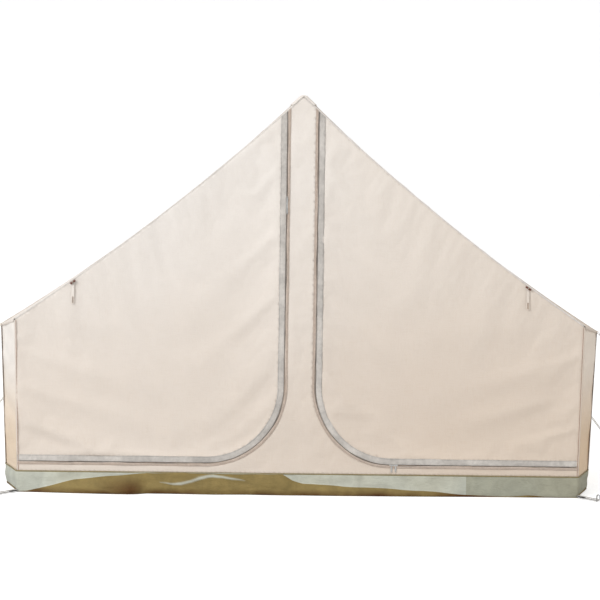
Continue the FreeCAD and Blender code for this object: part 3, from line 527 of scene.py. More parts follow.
def moulded_material(name, colour, rough=0.45, grain=900.0):
    s = Shader(name)
    pits = s.noise(s.spot, grain, 2.0)
    dust = s.noise(s.spot, 22.0, 5.0, 0.65)
    tone = s.ramp(dust, 0.35, 0.8, colour, shade_of(tuple(c + 0.025 for c in colour), 1.4))
    roughness = s.math("ADD", s.math("MULTIPLY", dust, 0.2), rough - 0.05)
    return s.finish(tone, roughness, s.bump(pits, 0.15, 0.0004))


def coil_material(name, clean, worn):
    """Nylon zip coil, dirty in stretches."""
    s = Shader(name)
    dirt = s.noise(s.spot, 5.0, 4.0, 0.65)
    turns = s.wave(s.spot, 700.0, "Z", 0.4)
    return s.finish(s.ramp(dirt, 0.40, 0.60, clean, worn), 0.55, s.bump(turns, 0.3, 0.0003), gloss=0.3)


def wood_material(name, colour, dark):
    """Turned or sanded wood with grain lines."""
    s = Shader(name)
    rings = s.wave(s.spot, 70.0, "X", 5.0)
    fibres = s.noise(s.spot, 450.0, 4.0)
    grain = s.math("ADD", s.math("MULTIPLY", rings, 0.55), s.math("MULTIPLY", fibres, 0.45))
    tone = s.ramp(grain, 0.2, 0.8, dark, colour)
    roughness = s.math("ADD", s.math("MULTIPLY", fibres, 0.2), 0.38)
    return s.finish(tone, roughness, s.bump(grain, 0.2, 0.0004), Coat_Weight=0.15)


TUB_SEAM = 0.832  # where the pale band's two lengths of sheeting meet, in front


def sheeting_material(name, light, second, olive, dark):
    """Coated groundsheet: a pale grey-green band, tinted by second right of its seam, and olive where shade
    is 1. dark is the colour the olive sheeting turns to towards the bottom, in broken stretches, and the
    painted shade on its flank near the left end, where the first fold stands out over the next."""
    s = Shader(name)
    part = s.node("Attribute", attribute_name="shade").outputs["Fac"]
    cloud = s.noise(s.spot, 11.0, 5.0, 0.62, 0.5)
    creases = s.noise(s.scaled(s.spot, (1.0, 1.0, 2.2)), 26.0, 5.0, 0.66, 1.2)
    pale = s.ramp(cloud, 0.3, 0.7, shade_of(light, 0.84), shade_of(light, 1.12))
    stained = s.ramp(s.noise(s.spot, 2.1, 2.0), 0.45, 0.7, (0, 0, 0), (0.12, 0.12, 0.12))
    pale = s.mix(stained, pale, shade_of(olive, 2.0))
    deep = s.ramp(cloud, 0.3, 0.75, shade_of(olive, 0.78), shade_of(olive, 1.2))
    pale = s.mix(s.share("X", TUB_SEAM - 0.002, TUB_SEAM + 0.002), pale, s.mix(1.0, pale, second, "MULTIPLY"))
    # the olive sheeting turns darker towards the bottom, in broken stretches along it
    worn = s.ramp(s.noise(s.scaled(s.spot, (1.0, 1.0, 0.2)), 3.4, 3.0), 0.38, 0.62, (0.15,) * 3, (1.0,) * 3)
    foot = s.math("MULTIPLY", s.share("Z", 0.036, 0.002), worn)
    # painted shade: darker on the low flank at the right end of the first fold, where it stands out over the
    # next
    flank = s.math("MULTIPLY", s.share("X", -1.05, -0.80), s.share("X", -0.73, -0.83))
    flank = s.math("MULTIPLY", flank, s.share("Z", 0.095, 0.020))
    deep = s.mix(s.math("MAXIMUM", foot, s.math("MULTIPLY", flank, 0.9)), deep, dark)
    tone = s.mix(part, pale, deep)
    scrim = s.math("MAXIMUM", s.wave(s.spot, 150.0, "X", 0.2), s.wave(s.spot, 150.0, "Z", 0.2))
    normal = s.bump(creases, 0.45, 0.010, s.bump(scrim, 0.1, 0.0005))
    roughness = s.math("ADD", s.math("MULTIPLY", cloud, 0.25), 0.42)
    return s.finish(tone, roughness, normal, gloss=0.12)


def thread_material(name, colour):
    s = Shader(name)
    twist = s.wave(s.spot, 900.0, "DIAGONAL", 1.0)
    fade = s.noise(s.spot, 14.0, 3.0)
    tone = s.ramp(fade, 0.3, 0.7, shade_of(colour, 0.8), shade_of(colour, 1.25))
    return s.finish(tone, 0.6, s.bump(twist, 0.4, 0.0004))


def rope_material(name, colour, fleck):
    """Braided cord with darker flecks."""
    s = Shader(name)
    braid = s.wave(s.spot, 240.0, "DIAGONAL", 1.2)
    specks = s.noise(s.spot, 420.0, 2.0)
    tone = s.ramp(braid, 0.2, 0.8, shade_of(colour, 0.78), colour)
    tone = s.mix(s.ramp(specks, 0.62, 0.70, (0, 0, 0), (1, 1, 1)), tone, fleck)
    return s.finish(tone, 0.85, s.bump(braid, 0.5, 0.0006), Sheen_Weight=0.2)


WHITE = (1.0, 1.0, 1.0)
CREAM = (0.82, 0.785, 0.750)
# painted shade: the canvas's darker, warmer right side, away from the key light
SHADED_CREAM = (0.765, 0.690, 0.615)
# painted shade: the canvas's darker, warmer foot; TAN below does the same, more strongly, on the walls
LOW_SHADE = (0.90, 0.84, 0.78)
TAN = (0.90, 0.77, 0.62)
FADE = (0.15, 1.60)
PALE_GREEN = (0.52, 0.54, 0.475)
PALE_GREY = (0.72, 0.70, 0.64)
OLIVE = (0.255, 0.190, 0.072)
MATERIALS = {
    "canvas": canvas_material("tent_canvas", CREAM, SHADED_CREAM, LOW_SHADE, FADE),
    "canvas_door": canvas_material("door_canvas", CREAM, SHADED_CREAM, LOW_SHADE, FADE),
    # the walls' painted shade: a darker, warmer right side and a much darker, warmer foot
    "canvas_wall": canvas_material("wall_canvas", CREAM, (0.86, 0.765, 0.665), TAN, (0.22, 0.70)),
    # the ties carry the same painted shade, on their right side and near the ground
    "tie_canvas": canvas_material("tie_canvas", (0.82, 0.785, 0.745), (0.78, 0.715, 0.645), LOW_SHADE, FADE),
    "hem": webbing_material("hem", (0.80, 0.755, 0.71)),
    # a real strip of cloth, coloured darker and pinker than the canvas as painted shade beside the zip
    "facing": webbing_material("facing", (0.63, 0.53, 0.455)),
    "seam_tape": webbing_material("seam_tape", (0.74, 0.67, 0.59)),
    "zip_tape": webbing_material("zip_tape", (0.62, 0.585, 0.545), 520.0, 0.20),
    "zip_coil": coil_material("zip_coil", (0.47, 0.375, 0.30), (0.20, 0.165, 0.14)),
    "thread": thread_material("thread", (0.16, 0.075, 0.035)),
    "thread_brown": thread_material("thread_brown", (0.30, 0.135, 0.075)),
    "thread_soft": thread_material("thread_soft", (0.36, 0.24, 0.16)),
    "thread_pale": thread_material("thread_pale", (0.68, 0.62, 0.56)),
    "thread_grey": thread_material("thread_grey", (0.24, 0.22, 0.20)),
    "groundsheet": sheeting_material("tub_sheeting", PALE_GREEN, PALE_GREY, OLIVE, (0.075, 0.026, 0.006)),
    "floor_sheeting": sheeting_material("floor_sheeting", PALE_GREEN, WHITE, OLIVE, shade_of(OLIVE, 0.9)),
    "binding": webbing_material("binding", (0.30, 0.245, 0.12)),
    "slider_metal": metal_material("slider_metal", (0.82, 0.82, 0.80), 0.22),
    "ring_steel": metal_material("ring_steel", (0.62, 0.62, 0.62), 0.28),
    "peg_steel": metal_material("peg_steel", (0.55, 0.56, 0.57), 0.40, 200.0, 140.0),
    "pole_steel": metal_material("pole_steel", (0.60, 0.61, 0.62), 0.32, 160.0, 70.0),
    "sleeve_steel": metal_material("sleeve_steel", (0.50, 0.51, 0.52), 0.30, 160.0, 70.0),
    "foot_rubber": moulded_material("foot_rubber", (0.022, 0.022, 0.022), 0.7, 500.0),
    "black_plastic": moulded_material("black_plastic", (0.014, 0.014, 0.015), 0.42),
    "grey_webbing": webbing_material("grey_webbing", (0.52, 0.50, 0.47)),
    "guy_rope": rope_material("guy_rope", (0.62, 0.58, 0.48), (0.20, 0.16, 0.10)),
    "runner_wood": wood_material("runner_wood", (0.50, 0.30, 0.14), (0.26, 0.13, 0.05)),
    "toggle_wood": wood_material("toggle_wood", (0.20, 0.065, 0.040), (0.075, 0.024, 0.014)),
}


def paint(obj, material):
    obj.data.materials.clear()
    obj.data.materials.append(MATERIALS[material])
    return obj


def tent_piece(obj, material, *nodes):
    """Paints a piece that stays still and hides the CAD nodes it stands for."""
    paint(obj, material)
    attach(obj, "tent")
    if nodes:
        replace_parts(obj, *nodes)
    return obj


# ---------------------------------------------------------------- cloth

DRAPES = []  # sheets waiting for the one cloth simulation


def hang(obj, fixed, slack, bend, limit):
    """Puts a sheet in the queue for the cloth simulation: fixed points stay where they are."""
    group = obj.vertex_groups.new(name="fixed")
    group.add([int(i) for i in np.nonzero(fixed)[0]], 1.0, "REPLACE")
    cloth = obj.modifiers.new("cloth_sim", "CLOTH")
    settings = cloth.settings
    settings.quality = 6
    settings.mass = 0.12
    settings.tension_stiffness = 40
    settings.compression_stiffness = 40
    settings.shear_stiffness = 20
    settings.bending_stiffness = bend
    settings.tension_damping = 20
    settings.compression_damping = 20
    settings.shear_damping = 15
    settings.bending_damping = 2
    settings.air_damping = 4
    settings.vertex_group_mass = "fixed"
    settings.shrink_min = -slack
    cloth.collision_settings.use_collision = False
    cloth.point_cache.frame_start = 1
    cloth.point_cache.frame_end = SIM_FRAMES
    DRAPES.append((obj, points_of(obj.data), limit))


SIM_FRAMES = 60


def run_cloth():
    """Runs every queued sheet at once and keeps the last frame, with each point's move capped."""
    for number in range(1, SIM_FRAMES + 1):
        scene.frame_set(number)
    graph = bpy.context.evaluated_depsgraph_get()
    for obj, start, limit in DRAPES:
        moved = points_of(obj.evaluated_get(graph).data)
        shift = moved - start
        far = np.linalg.norm(shift, axis=1, keepdims=True)
        shift *= limit * np.tanh(far / limit) / np.maximum(far, 1e-9)
        obj.modifiers.clear()
        move_points(obj, start + shift)
    scene.frame_set(1)


def crease(flat, lines):
    """Height of soft folds on a flat cloth. Each line is (start, end, height, width) and fades as it goes."""
    height = np.zeros(len(flat))
    for start, end, tall, wide in lines:
        start, end = np.array(start), np.array(end)
        way = end - start
        long = np.linalg.norm(way)
        share = np.clip(((flat - start) @ way) / long**2, 0, 1)
        off = (flat - start) @ np.array([-way[1], way[0]]) / long
        reach = wide * (0.35 + share)
        fade = np.sin(math.pi * np.clip(share * 0.92 + 0.04, 0, 1)) ** 0.7
        past = np.linalg.norm(flat - start - share[:, None] * way, axis=1)
        height += tall * fade * np.exp(-((off / reach) ** 2)) * np.exp(-((past / (wide * 3)) ** 2))
    return height


CLOTH_CELL = 0.024
CANOPY_ROWS = 84
WALL_ROWS = 30
CANVAS = 0.0012


def hang_rails(name, rails, flats, ripples, slack, bend, limit):
    """Cloth between rails, rippled by noises of (scale, size, seed) and queued for the simulation."""
    points, flat, faces, fixed = rail_cloth(rails, flats, CLOTH_CELL)
    obj = mesh_object(name, points, faces)
    set_pattern(obj, flat)
    ripple = sum(wobble(points, *noise_of) for noise_of in ripples)
    ripple[fixed] = 0
    normals = np.empty(len(points) * 3, np.float32)
    obj.data.vertices.foreach_get("normal", normals)
    move_points(obj, points_of(obj.data) + normals.reshape(-1, 3) * ripple[:, None])
    hang(obj, fixed, slack, bend, limit)
    return obj


def make_canopy():
    """The whole roof as one sheet, from the front wall's left top edge round the back to its right one."""
    share = np.linspace(0, 1, CANOPY_ROWS)
    hip_share = APEX_RING / EAVE_RADIUS + share * (1 - APEX_RING / EAVE_RADIUS)
    across = APEX_RING + share * (SHOULDER_HALF - APEX_RING)
    rails = [front(across, top_edge(across))]
    rails += [hip(k, hip_share) for k in range(GORES + 1)]
    rails.append(front(-across, top_edge(across)))
    apex = np.array([0.0, 0.0, APEX_HEIGHT])
    flats, turn = [], 0.0
    for r, rail in enumerate(rails):
        if r:
            a, b = rails[r - 1][-1] - apex, rail[-1] - apex
            turn += math.acos(a @ b / np.linalg.norm(a) / np.linalg.norm(b))
        reach = np.linalg.norm(rail - apex, axis=1)
        flats.append(np.stack([reach * math.cos(turn), reach * math.sin(turn)], axis=1))
    ripples = [(4.0, 0.006, 1.0), (11.0, 0.003, 2.0)]
    return hang_rails("canopy", rails, flats, ripples, 0.002, 1.5, 0.030)


def make_walls():
    """The low wall from the front wall's right corner seam round the back to the left one, in one sheet."""
    height = np.linspace(TUB_HEIGHT, EAVE_HEIGHT - 0.002, WALL_ROWS)
    up = np.linspace(TUB_HEIGHT, SHOULDER_HEIGHT - 0.003, WALL_ROWS) / math.cos(LEAN)
    rails = [front(seam_across(up), up, 0.0015)]
    rails += [wall_corner(k, height, -0.0015) for k in range(GORES + 1)]
    rails.append(front(-seam_across(up), up, 0.0015))
    flats, along = [], 0.0
    for r, rail in enumerate(rails):
        if r:
            along += np.linalg.norm(rail[0] - rails[r - 1][0])
        flats.append(np.stack([np.full(WALL_ROWS, along), height], axis=1))
    ripples = [(5.0, 0.006, 3.0), (13.0, 0.003, 4.0)]
    return hang_rails("walls", rails, flats, ripples, 0.006, 1.0, 0.026)


def hang_on_front(name, outline, ripple_of, slack, bend, limit):
    """Cloth of the front wall, rippled by a function of its flat points and their places, and queued."""
    flat, faces, fixed = flat_cloth(outline, CLOTH_CELL)
    ripple = ripple_of(flat, front(flat[:, 0], flat[:, 1]))
    ripple[fixed] = 0
    obj = mesh_object(name, front(flat[:, 0], flat[:, 1]), faces)
    set_pattern(obj, flat)
    move_points(obj, front(flat[:, 0], flat[:, 1], -ripple))
    hang(obj, fixed, slack, bend, limit)
    return obj


def arc_points(centre, radius, first, last, count=24):
    angles = np.radians(np.linspace(first, last, count))
    return np.stack([centre[0] + radius * np.cos(angles), centre[1] + radius * np.sin(angles)], axis=1)


def mirrored(flat, side):
    return flat * np.array([side, 1.0])


DOOR_LAP = 0.029  # zip centre line to the edge of the door's canvas
EDGE_CLEAR = 0.004


def door_outline(side):
    inner = ZIP_OFFSET + DOOR_LAP
    low = ZIP_SILL + DOOR_LAP
    centre = (BEND_OUT, BEND_UP)
    curve = arc_points(centre, ZIP_BEND - DOOR_LAP, 180, 270)
    shoulder_up = SHOULDER[1] - EDGE_CLEAR
    tops = np.linspace(SHOULDER_HALF, inner, 40)
    top = np.stack([tops, top_edge(tops) - EDGE_CLEAR], axis=1)
    top[0] = (seam_across(shoulder_up), shoulder_up)
    edges = [
        [top[-1], curve[0]],
        curve,
        [curve[-1], (seam_across(low), low)],
        [(seam_across(low), low), top[0]],
        top,
    ]
    outline = mirrored(close_outline([np.array(e) for e in edges], CLOTH_CELL), side)
    return outline if side > 0 else outline[::-1]


# Soft folds of the door canvas, drawn for the right door in the wall's plane.
DOOR_FOLDS = [
    ((0.12, 1.62), (0.62, 1.02), 0.006, 0.060),
    ((0.12, 1.30), (0.70, 0.74), 0.005, 0.070),
    ((0.13, 0.98), (0.60, 0.56), 0.005, 0.060),
    ((1.38, 0.70), (0.80, 0.52), 0.010, 0.055),
    ((1.38, 0.52), (0.74, 0.34), 0.009, 0.050),
    ((1.38, 0.34), (1.00, 0.24), 0.007, 0.035),
    ((1.32, 0.86), (0.74, 0.80), 0.006, 0.060),
]


def make_door(word, side):
    def ripple_of(flat, places):
        return crease(mirrored(flat, side), DOOR_FOLDS) + wobble(places, 5.0, 0.006, 5.0 + side)

    return hang_on_front(f"{word}_door_cloth", door_outline(side), ripple_of, 0.006, 1.2, 0.026)


def make_centre():
    """The strip between the zips and the band under the doors, in one cloth."""
    lap = 0.009
    inner, low = ZIP_OFFSET - lap, ZIP_SILL - lap
    tub_up = TUB_HEIGHT / math.cos(LEAN)
    curve = arc_points((BEND_OUT, BEND_UP), ZIP_BEND + lap, 270, 180)
    tops = np.linspace(inner, 0.006, 8)
    top = np.stack([tops, np.minimum(top_edge(tops) - EDGE_CLEAR, FRONT_APEX[1] - 0.006)], axis=1)
    right = [
        [(0.0, tub_up), (seam_across(tub_up), tub_up)],
        [(seam_across(tub_up), tub_up), (seam_across(low), low)],
        [(seam_across(low), low), curve[0]],
        curve,
        [curve[-1], top[0]],
        top,
        [top[-1], (0.0, top[-1][1])],
    ]
    half = close_outline([np.array(e) for e in right], CLOTH_CELL)
    left = mirrored(half[1:], -1)[::-1]
    peak = np.array([[0.0, top[-1][1]]])
    outline = np.concatenate([half, peak, left])

    def ripple_of(flat, places):
        return wobble(places, 6.0, 0.004, 9.0)

    return hang_on_front("front_centre_cloth", outline, ripple_of, 0.002, 2.0, 0.012)


canopy = make_canopy()
walls = make_walls()
doors = {word: make_door(word, side) for word, side in SIDES.items()}
centre = make_centre()
run_cloth()
for cloth in (canopy, walls, centre, *doors.values()):
    thicken(cloth, CANVAS, 1)

ROOF_NODES = [f"roof_gore_{k + 1}" for k in range(GORES)] + [f"roof_side_gore_{word}" for word in SIDES]
WALL_NODES = [f"wall_panel_{k + 1}" for k in range(GORES)] + [f"side_wall_{word}" for word in SIDES]
tent_piece(canopy, "canvas", *ROOF_NODES)
tent_piece(walls, "canvas_wall", *WALL_NODES)
tent_piece(centre, "canvas", "front_centre_panel")

# ---------------------------------------------------------------- doors

FOLD_TOP = np.array([0.083, 1.889])
FOLD_LOW = np.array([1.390, 0.158])
FOLD_REACH = 0.030


def door_blend(obj, word):
    """Works out the line that the door's cloth folds on, but bends nothing: it only bakes the piece's
    placement into its mesh."""
    side = SIDES[word]
    way = unit(FOLD_LOW - FOLD_TOP)
    normal = np.array([-way[1], way[0]])
    middle = (FOLD_TOP + FOLD_LOW) / 2
    start, end = middle + normal * FOLD_REACH, middle - normal * FOLD_REACH
    start, end = (front(side * p[0], p[1]) for p in (start, end))
    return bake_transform(obj)


for word, cloth in doors.items():
    paint(cloth, "canvas_door")
    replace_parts(cloth, f"{word}_door_flap", f"{word}_door_side_panel")
    door_blend(cloth, word)

# ---------------------------------------------------------------- bands, seams and stitches

# Each kind of stitch: spacing, length, width and height.
FACING_STITCH = (0.0065, 0.0046, 0.0013, 0.0007)
DOOR_STITCH = (0.0065, 0.0046, 0.0013, 0.0009)
CORNER_STITCH = (0.0066, 0.0054, 0.0030, 0.0012)
HEM_STITCH = (0.0065, 0.0046, 0.0011, 0.0005)
SEAM_STITCH = (0.0080, 0.0054, 0.0012, 0.0007)
CROSS_STITCH = (0.0032, 0.0026, 0.0010, 0.0006)
BUTTONHOLE_STITCH = (0.0013, 0.0012, 0.0022, 0.0006)


def dashes(name, rows, pitch, long, wide, lift):
    """Stitches as one mesh. Each row is its points and the directions out of the cloth there."""
    ends = [(-0.5, 0.3), (-0.3, 1.0), (0.3, 1.0), (0.5, 0.3)]
    section = [(1.0, 0.0), (0.0, 1.0), (-1.0, 0.0), (0.0, -0.6)]
    points, faces, base = [], [], 0
    for line, outs in rows:
        both = resample(np.concatenate([line, outs], axis=1), pitch)
        middle = (both[1:, :3] + both[:-1, :3]) / 2
        ahead = unit(both[1:, :3] - both[:-1, :3])
        out = unit(both[1:, 3:] + both[:-1, 3:])
        side = unit(np.cross(ahead, out))
        rings = []
        for along, swell in ends:
            for across, rise in section:
                shift = ahead * along * long + side * across * swell * wide / 2
                rings.append(middle + shift + out * (rise * swell * lift))
        block = np.stack(rings, axis=1)
        for i in range(len(block)):
            start = base + i * 16
            for ring in (0, 4, 8):
                for k in range(4):
                    a, b = start + ring + k, start + ring + (k + 1) % 4
                    faces.append((a, b, b + 4, a + 4))
            faces.append((start + 3, start + 2, start + 1, start))
            faces.append((start + 12, start + 13, start + 14, start + 15))
        points.append(block.reshape(-1, 3))
        base += block.size // 3
    obj = mesh_object(name, np.concatenate(points), faces)
    face_outwards(obj)
    return obj


def wall_band(name, place, side, near, far, depth, thick, ripple=0.0, seed=0.0, wander=0.0):
    """Flat band on the front wall between two offsets of a line. place gives the line at an offset, and
    wander is how unevenly its far edge was cut."""
    rings = []
    for across, out in band_section((far - near) / 2, thick / 2):
        line = place((near + far) / 2 + across)
        if wander:
            drift = wobble(front(line[:, 0], line[:, 1]), 7.0, wander, seed + 20)
            drift = drift * (across * 2 / (far - near) + 1) / 2
            line = line + (place((near + far) / 2 + across + 0.001) - line) * (drift / 0.001)[:, None]
        waves = wobble(front(line[:, 0], line[:, 1]), 16.0, ripple, seed) if ripple else 0.0
        rings.append(front(side * line[:, 0], line[:, 1], depth - out - waves))
    return loft(name, np.stack(rings, axis=1))


def wall_row(place, side, offset, depth):
    """Line for a row of stitches on the front wall."""
    line = place(offset)
    points = front(side * line[:, 0], line[:, 1], depth)
    return points, np.tile(-WALL_IN, (len(points), 1))


# ---------------------------------------------------------------- zips

ZIP_TOP = 1.899
ZIP_END = 1.390
ZIP_STEP = 0.008
COIL_HALF = 0.003
COIL_PITCH = 0.003
# Near and far edges, counted from the zip's centre line towards the door.
FRAME_TAPE = (-0.0115, -0.0026)
FACING = (-0.0135, -0.0015)
DOOR_TAPE = (0.0040, 0.0345)
# One coil in section: across the zip and out of the wall.
COIL_SECTION = [(-1, 0), (-0.7, 0.8), (-0.12, 1), (0.12, 1), (0.7, 0.8), (1, 0), (0.6, -0.8), (-0.6, -0.8)]


def zip_place(offset, step=ZIP_STEP):
    """Line beside the right zip, offset towards the door, stretched to end at the roof's edge and the corner
    seam."""
    corner = arc_points((BEND_OUT, BEND_UP), ZIP_BEND, 180, 270, 120)
    line = resample(np.concatenate([[(ZIP_OFFSET, ZIP_TOP)], corner, [(ZIP_END, ZIP_SILL)]]), step)
    toward = unit(np.maximum(line, (BEND_OUT, BEND_UP)) - line)
    line = line + toward * offset
    across, up = line[:, 0].copy(), line[:, 1].copy()
    high = up > BEND_UP
    top = top_edge(ZIP_OFFSET + offset) - EDGE_CLEAR
    up[high] = BEND_UP + (up[high] - BEND_UP) * (top - BEND_UP) / (ZIP_TOP - BEND_UP)
    far = across > BEND_OUT
    end = seam_across(ZIP_SILL + offset) - EDGE_CLEAR
    across[far] = BEND_OUT + (across[far] - BEND_OUT) * (end - BEND_OUT) / (ZIP_END - BEND_OUT)
    return np.stack([across, up], axis=1)


def make_coil(word, side):
    """Zip teeth: two spiral coils that mesh along the middle, one bulge for every turn."""
    line = zip_place(0.0, COIL_PITCH / 2)
    edges = zip_place(0.001, COIL_PITCH / 2)
    toward = unit(edges - line)
    swell = np.where(np.arange(len(line)) % 2, 1.0, 0.72)[:, None]
    rings = []
    for across, out in COIL_SECTION:
        spot = line + toward * across * COIL_HALF * swell
        rings.append(front(side * spot[:, 0], spot[:, 1], -out * 0.0011 * swell[:, 0] - 0.0002))
    return loft(f"{word}_zip_coil", np.stack(rings, axis=1))


def make_zip(word, side):
    """Tapes, coil and facing of one door's zip, and their stitches."""
    tape = wall_band(f"{word}_frame_tape", zip_place, side, *FRAME_TAPE, 0.0002, 0.0012)
    tent_piece(tape, "zip_tape")
    tent_piece(make_coil(word, side), "zip_coil", f"{word}_zip_frame_tape")
    # the facing is a real strip; its darker, pinker colour is painted shade beside the zip
    depth, thick, ripple, wander = -0.0020, 0.0012, 0.0008, 0.005
    name, seed = f"{word}_zip_facing", 2.0 + side
    facing = wall_band(name, zip_place, side, *FACING, depth, thick, ripple, seed, wander)
    tent_piece(facing, "facing")
    offsets = (FACING[0] + 0.003, FACING[1] - 0.0045)
    rows = [wall_row(zip_place, side, offset, -0.0030) for offset in offsets]
    tent_piece(dashes(f"{word}_facing_stitches", rows, *FACING_STITCH), "thread_soft")

    depth, thick, ripple, wander = -0.0014, 0.0014, 0.0022, 0.002
    name, seed = f"{word}_door_tape", 5.0 + side
    tape = wall_band(name, zip_place, side, *DOOR_TAPE, depth, thick, ripple, seed, wander)
    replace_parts(paint(tape, "zip_tape"), f"{word}_zip_door_tape")
    door_blend(tape, word)
    offsets = (DOOR_TAPE[0] + 0.002, DOOR_TAPE[1] - 0.003)
    rows = [wall_row(zip_place, side, offset, -0.0026) for offset in offsets]
    door_blend(paint(dashes(f"{word}_door_stitches", rows, *DOOR_STITCH), "thread_grey"), word)


for word, side in SIDES.items():
    make_zip(word, side)

# ---------------------------------------------------------------- seams of the front wall

SEAM_WIDE = 0.012
HEM_WIDE = 0.006


def corner_place(offset):
    """Front wall's corner seam; offset goes towards the middle of the wall."""
    up = np.linspace(TUB_HEIGHT, SHOULDER_HEIGHT - 0.004, 90) / math.cos(LEAN)
    return np.stack([seam_across(up) - offset, up], axis=1)


def hem_place(offset):
    """Front wall's sloping top edge; offset goes down from it."""
    across = np.linspace(0.004, SHOULDER_HALF - 0.004, 110)
    way = unit(np.array(TOP_CENTRE) - np.stack([across, top_edge(across)], axis=1))
    return np.stack([across, top_edge(across)], axis=1) - way * offset


def make_front_seams():
    """Corner seams and the hems of the sloping top edge, with their stitches."""
    for word, side in SIDES.items():
        edges, ripple, seed = (0.001, SEAM_WIDE), 0.0004, 3.0
        seam = wall_band(f"{word}_corner_seam", corner_place, side, *edges, -0.0012, 0.0012, ripple, seed)
        tent_piece(seam, "canvas")
        rows = [wall_row(corner_place, side, SEAM_WIDE - 0.0035, -0.0026)]
        tent_piece(dashes(f"{word}_corner_stitches", rows, *CORNER_STITCH), "thread_brown")
        hem = wall_band(f"{word}_roof_hem", hem_place, side, -0.001, HEM_WIDE, -0.0009, 0.0006)
        tent_piece(hem, "hem")
        rows = [wall_row(hem_place, side, HEM_WIDE - 0.0022, -0.0013)]
        tent_piece(dashes(f"{word}_hem_stitches", rows, *HEM_STITCH), "thread_pale")


make_front_seams()

# ---------------------------------------------------------------- seams of the roof and the rear wall

TAPE_WIDE = 0.022
TAPE_THICK = 0.0012
HIP_FOLD = 0.27
WALL_FOLD = 0.33


def radial_of(k):
    return np.array([math.cos(k * GORE_STEP), math.sin(k * GORE_STEP), 0.0])


def tangent_of(k):
    return np.array([-math.sin(k * GORE_STEP), math.cos(k * GORE_STEP), 0.0])


def hip_line(k, count=150):
    """Hip seam k from the apex ring to the eave, with the directions out of the roof."""
    line = hip(k, np.linspace(APEX_RING / EAVE_RADIUS, 0.9985, count))
    ahead = unit(np.gradient(line, axis=0))
    return line, unit(np.cross(ahead, tangent_of(k)))


def wall_line(k, count=50):
    line = wall_corner(k, np.linspace(TUB_HEIGHT + 0.002, EAVE_HEIGHT - 0.004, count))
    return line, np.tile(radial_of(k), (count, 1))


def seam_tapes(name, line_of, fold):
    """Folded tape over each seam, with a row of stitches beside either edge."""
    tapes, rows = [], []
    for k in range(GORES + 1):
        line, outs = line_of(k)
        sides = np.tile(tangent_of(k), (len(line), 1))
        rings = band_rings(line + outs * TAPE_THICK, sides, outs, TAPE_WIDE, TAPE_THICK, fold)
        tapes.append(loft(f"{name}_{k}", rings))
        for edge in (-1, 1):
            way = TAPE_WIDE / 2 - 0.0028
            rows.append((line + sides * edge * way + outs * (0.0021 - way * fold), outs))
    return merge(name, tapes), dashes(f"{name}_stitches", rows, *SEAM_STITCH)


def make_rear_seams():
    tapes, stitches = seam_tapes("hip_tapes", hip_line, HIP_FOLD)
    tent_piece(tapes, "seam_tape", "hip_seam_tapes")
    tent_piece(stitches, "thread_soft")
    tapes, stitches = seam_tapes("wall_tapes", wall_line, WALL_FOLD)
    tent_piece(tapes, "seam_tape", "wall_seam_tapes")
    tent_piece(stitches, "thread")


def make_eave_hem():
    """Hem of the roof's lower edge, just outside the wall's top, from one front corner round to the other."""
    shoulder = SHOULDER[1] - 0.003
    ends = [front(side * seam_across(shoulder), shoulder) for side in (1, -1)]
    corners = [ends[0], *(wall_corner(k, EAVE_HEIGHT) for k in range(GORES + 1)), ends[1]]
    runs = [resample([a, b], 0.02)[:-1] for a, b in zip(corners, corners[1:])]
    line = np.concatenate([*runs, [corners[-1]]])
    ahead = np.gradient(line, axis=0)
    outs = unit(np.stack([ahead[:, 1], -ahead[:, 0], np.zeros(len(line))], axis=1))
    sides = np.tile([0.0, 0.0, 1.0], (len(line), 1))
    waves = wobble(line, 9.0, 0.0012, 6.0)[:, None]
    centres = line + outs * (0.0022 + waves) - sides * 0.005
    tent_piece(loft("eave_hem", band_rings(centres, sides, outs, 0.016, 0.0022)), "canvas")
    row = [(centres + outs * 0.0013 - sides * 0.004, outs)]
    tent_piece(dashes("eave_stitches", row, *SEAM_STITCH), "thread_soft")


make_rear_seams()
make_eave_hem()


def make_apex_cap():
    """Cloth cap over the gores' top ends, turned down over the front wall's peak."""
    around = 96
    radii = np.concatenate([np.linspace(0.004, 0.016, 4), np.linspace(0.020, CAP_REACH + 0.002, 12)])
    heights = hip(0, radii / EAVE_RADIUS)[:, 2] + np.interp(radii, (0.016, CAP_REACH), (0.0050, 0.0026))
    heights = np.minimum(heights, heights[3] + 0.0008 * np.arange(3, -13, -1))
    angles = np.linspace(0, 2 * math.pi, around, endpoint=False)
    points = [np.array([[0.0, 0.0, heights[0] + 0.0004]])]
    for i, (radius, height) in enumerate(zip(radii, heights)):
        ripple = 0.0012 * i / len(radii) * np.sin(angles * 10 + 0.6 * np.sin(angles * 3))
        ring = np.stack([radius * np.cos(angles), radius * np.sin(angles), height + ripple], axis=1)
        points.append(ring)
    points = np.concatenate(points)
    depth = (points - [0.0, -SETBACK, 0.0]) @ WALL_IN
    proud = depth < -0.0028
    points[proud] -= (depth[proud, None] + 0.0028) * WALL_IN
    up = (points - [0.0, -SETBACK, 0.0]) @ WALL_UP
    lowest = top_edge(points[:, 0]) - 0.002
    lift = np.where(proud, np.maximum(lowest - up, 0.0), 0.0)
    points += lift[:, None] * WALL_UP
    faces = [(0, 1 + (k + 1) % around, 1 + k) for k in range(around)]
    for i in range(len(radii) - 1):
        a = 1 + i * around
        for k in range(around):
            after = (k + 1) % around
            faces.append((a + k, a + after, a + around + after, a + around + k))
    cap = mesh_object("cloth_cap", points, faces)
    set_pattern(cap, points[:, :2])
    face_outwards(cap)
    thicken(cap, CANVAS, 0)
    tent_piece(cap, "canvas", "apex_cap")


make_apex_cap()

# ---------------------------------------------------------------- groundsheet

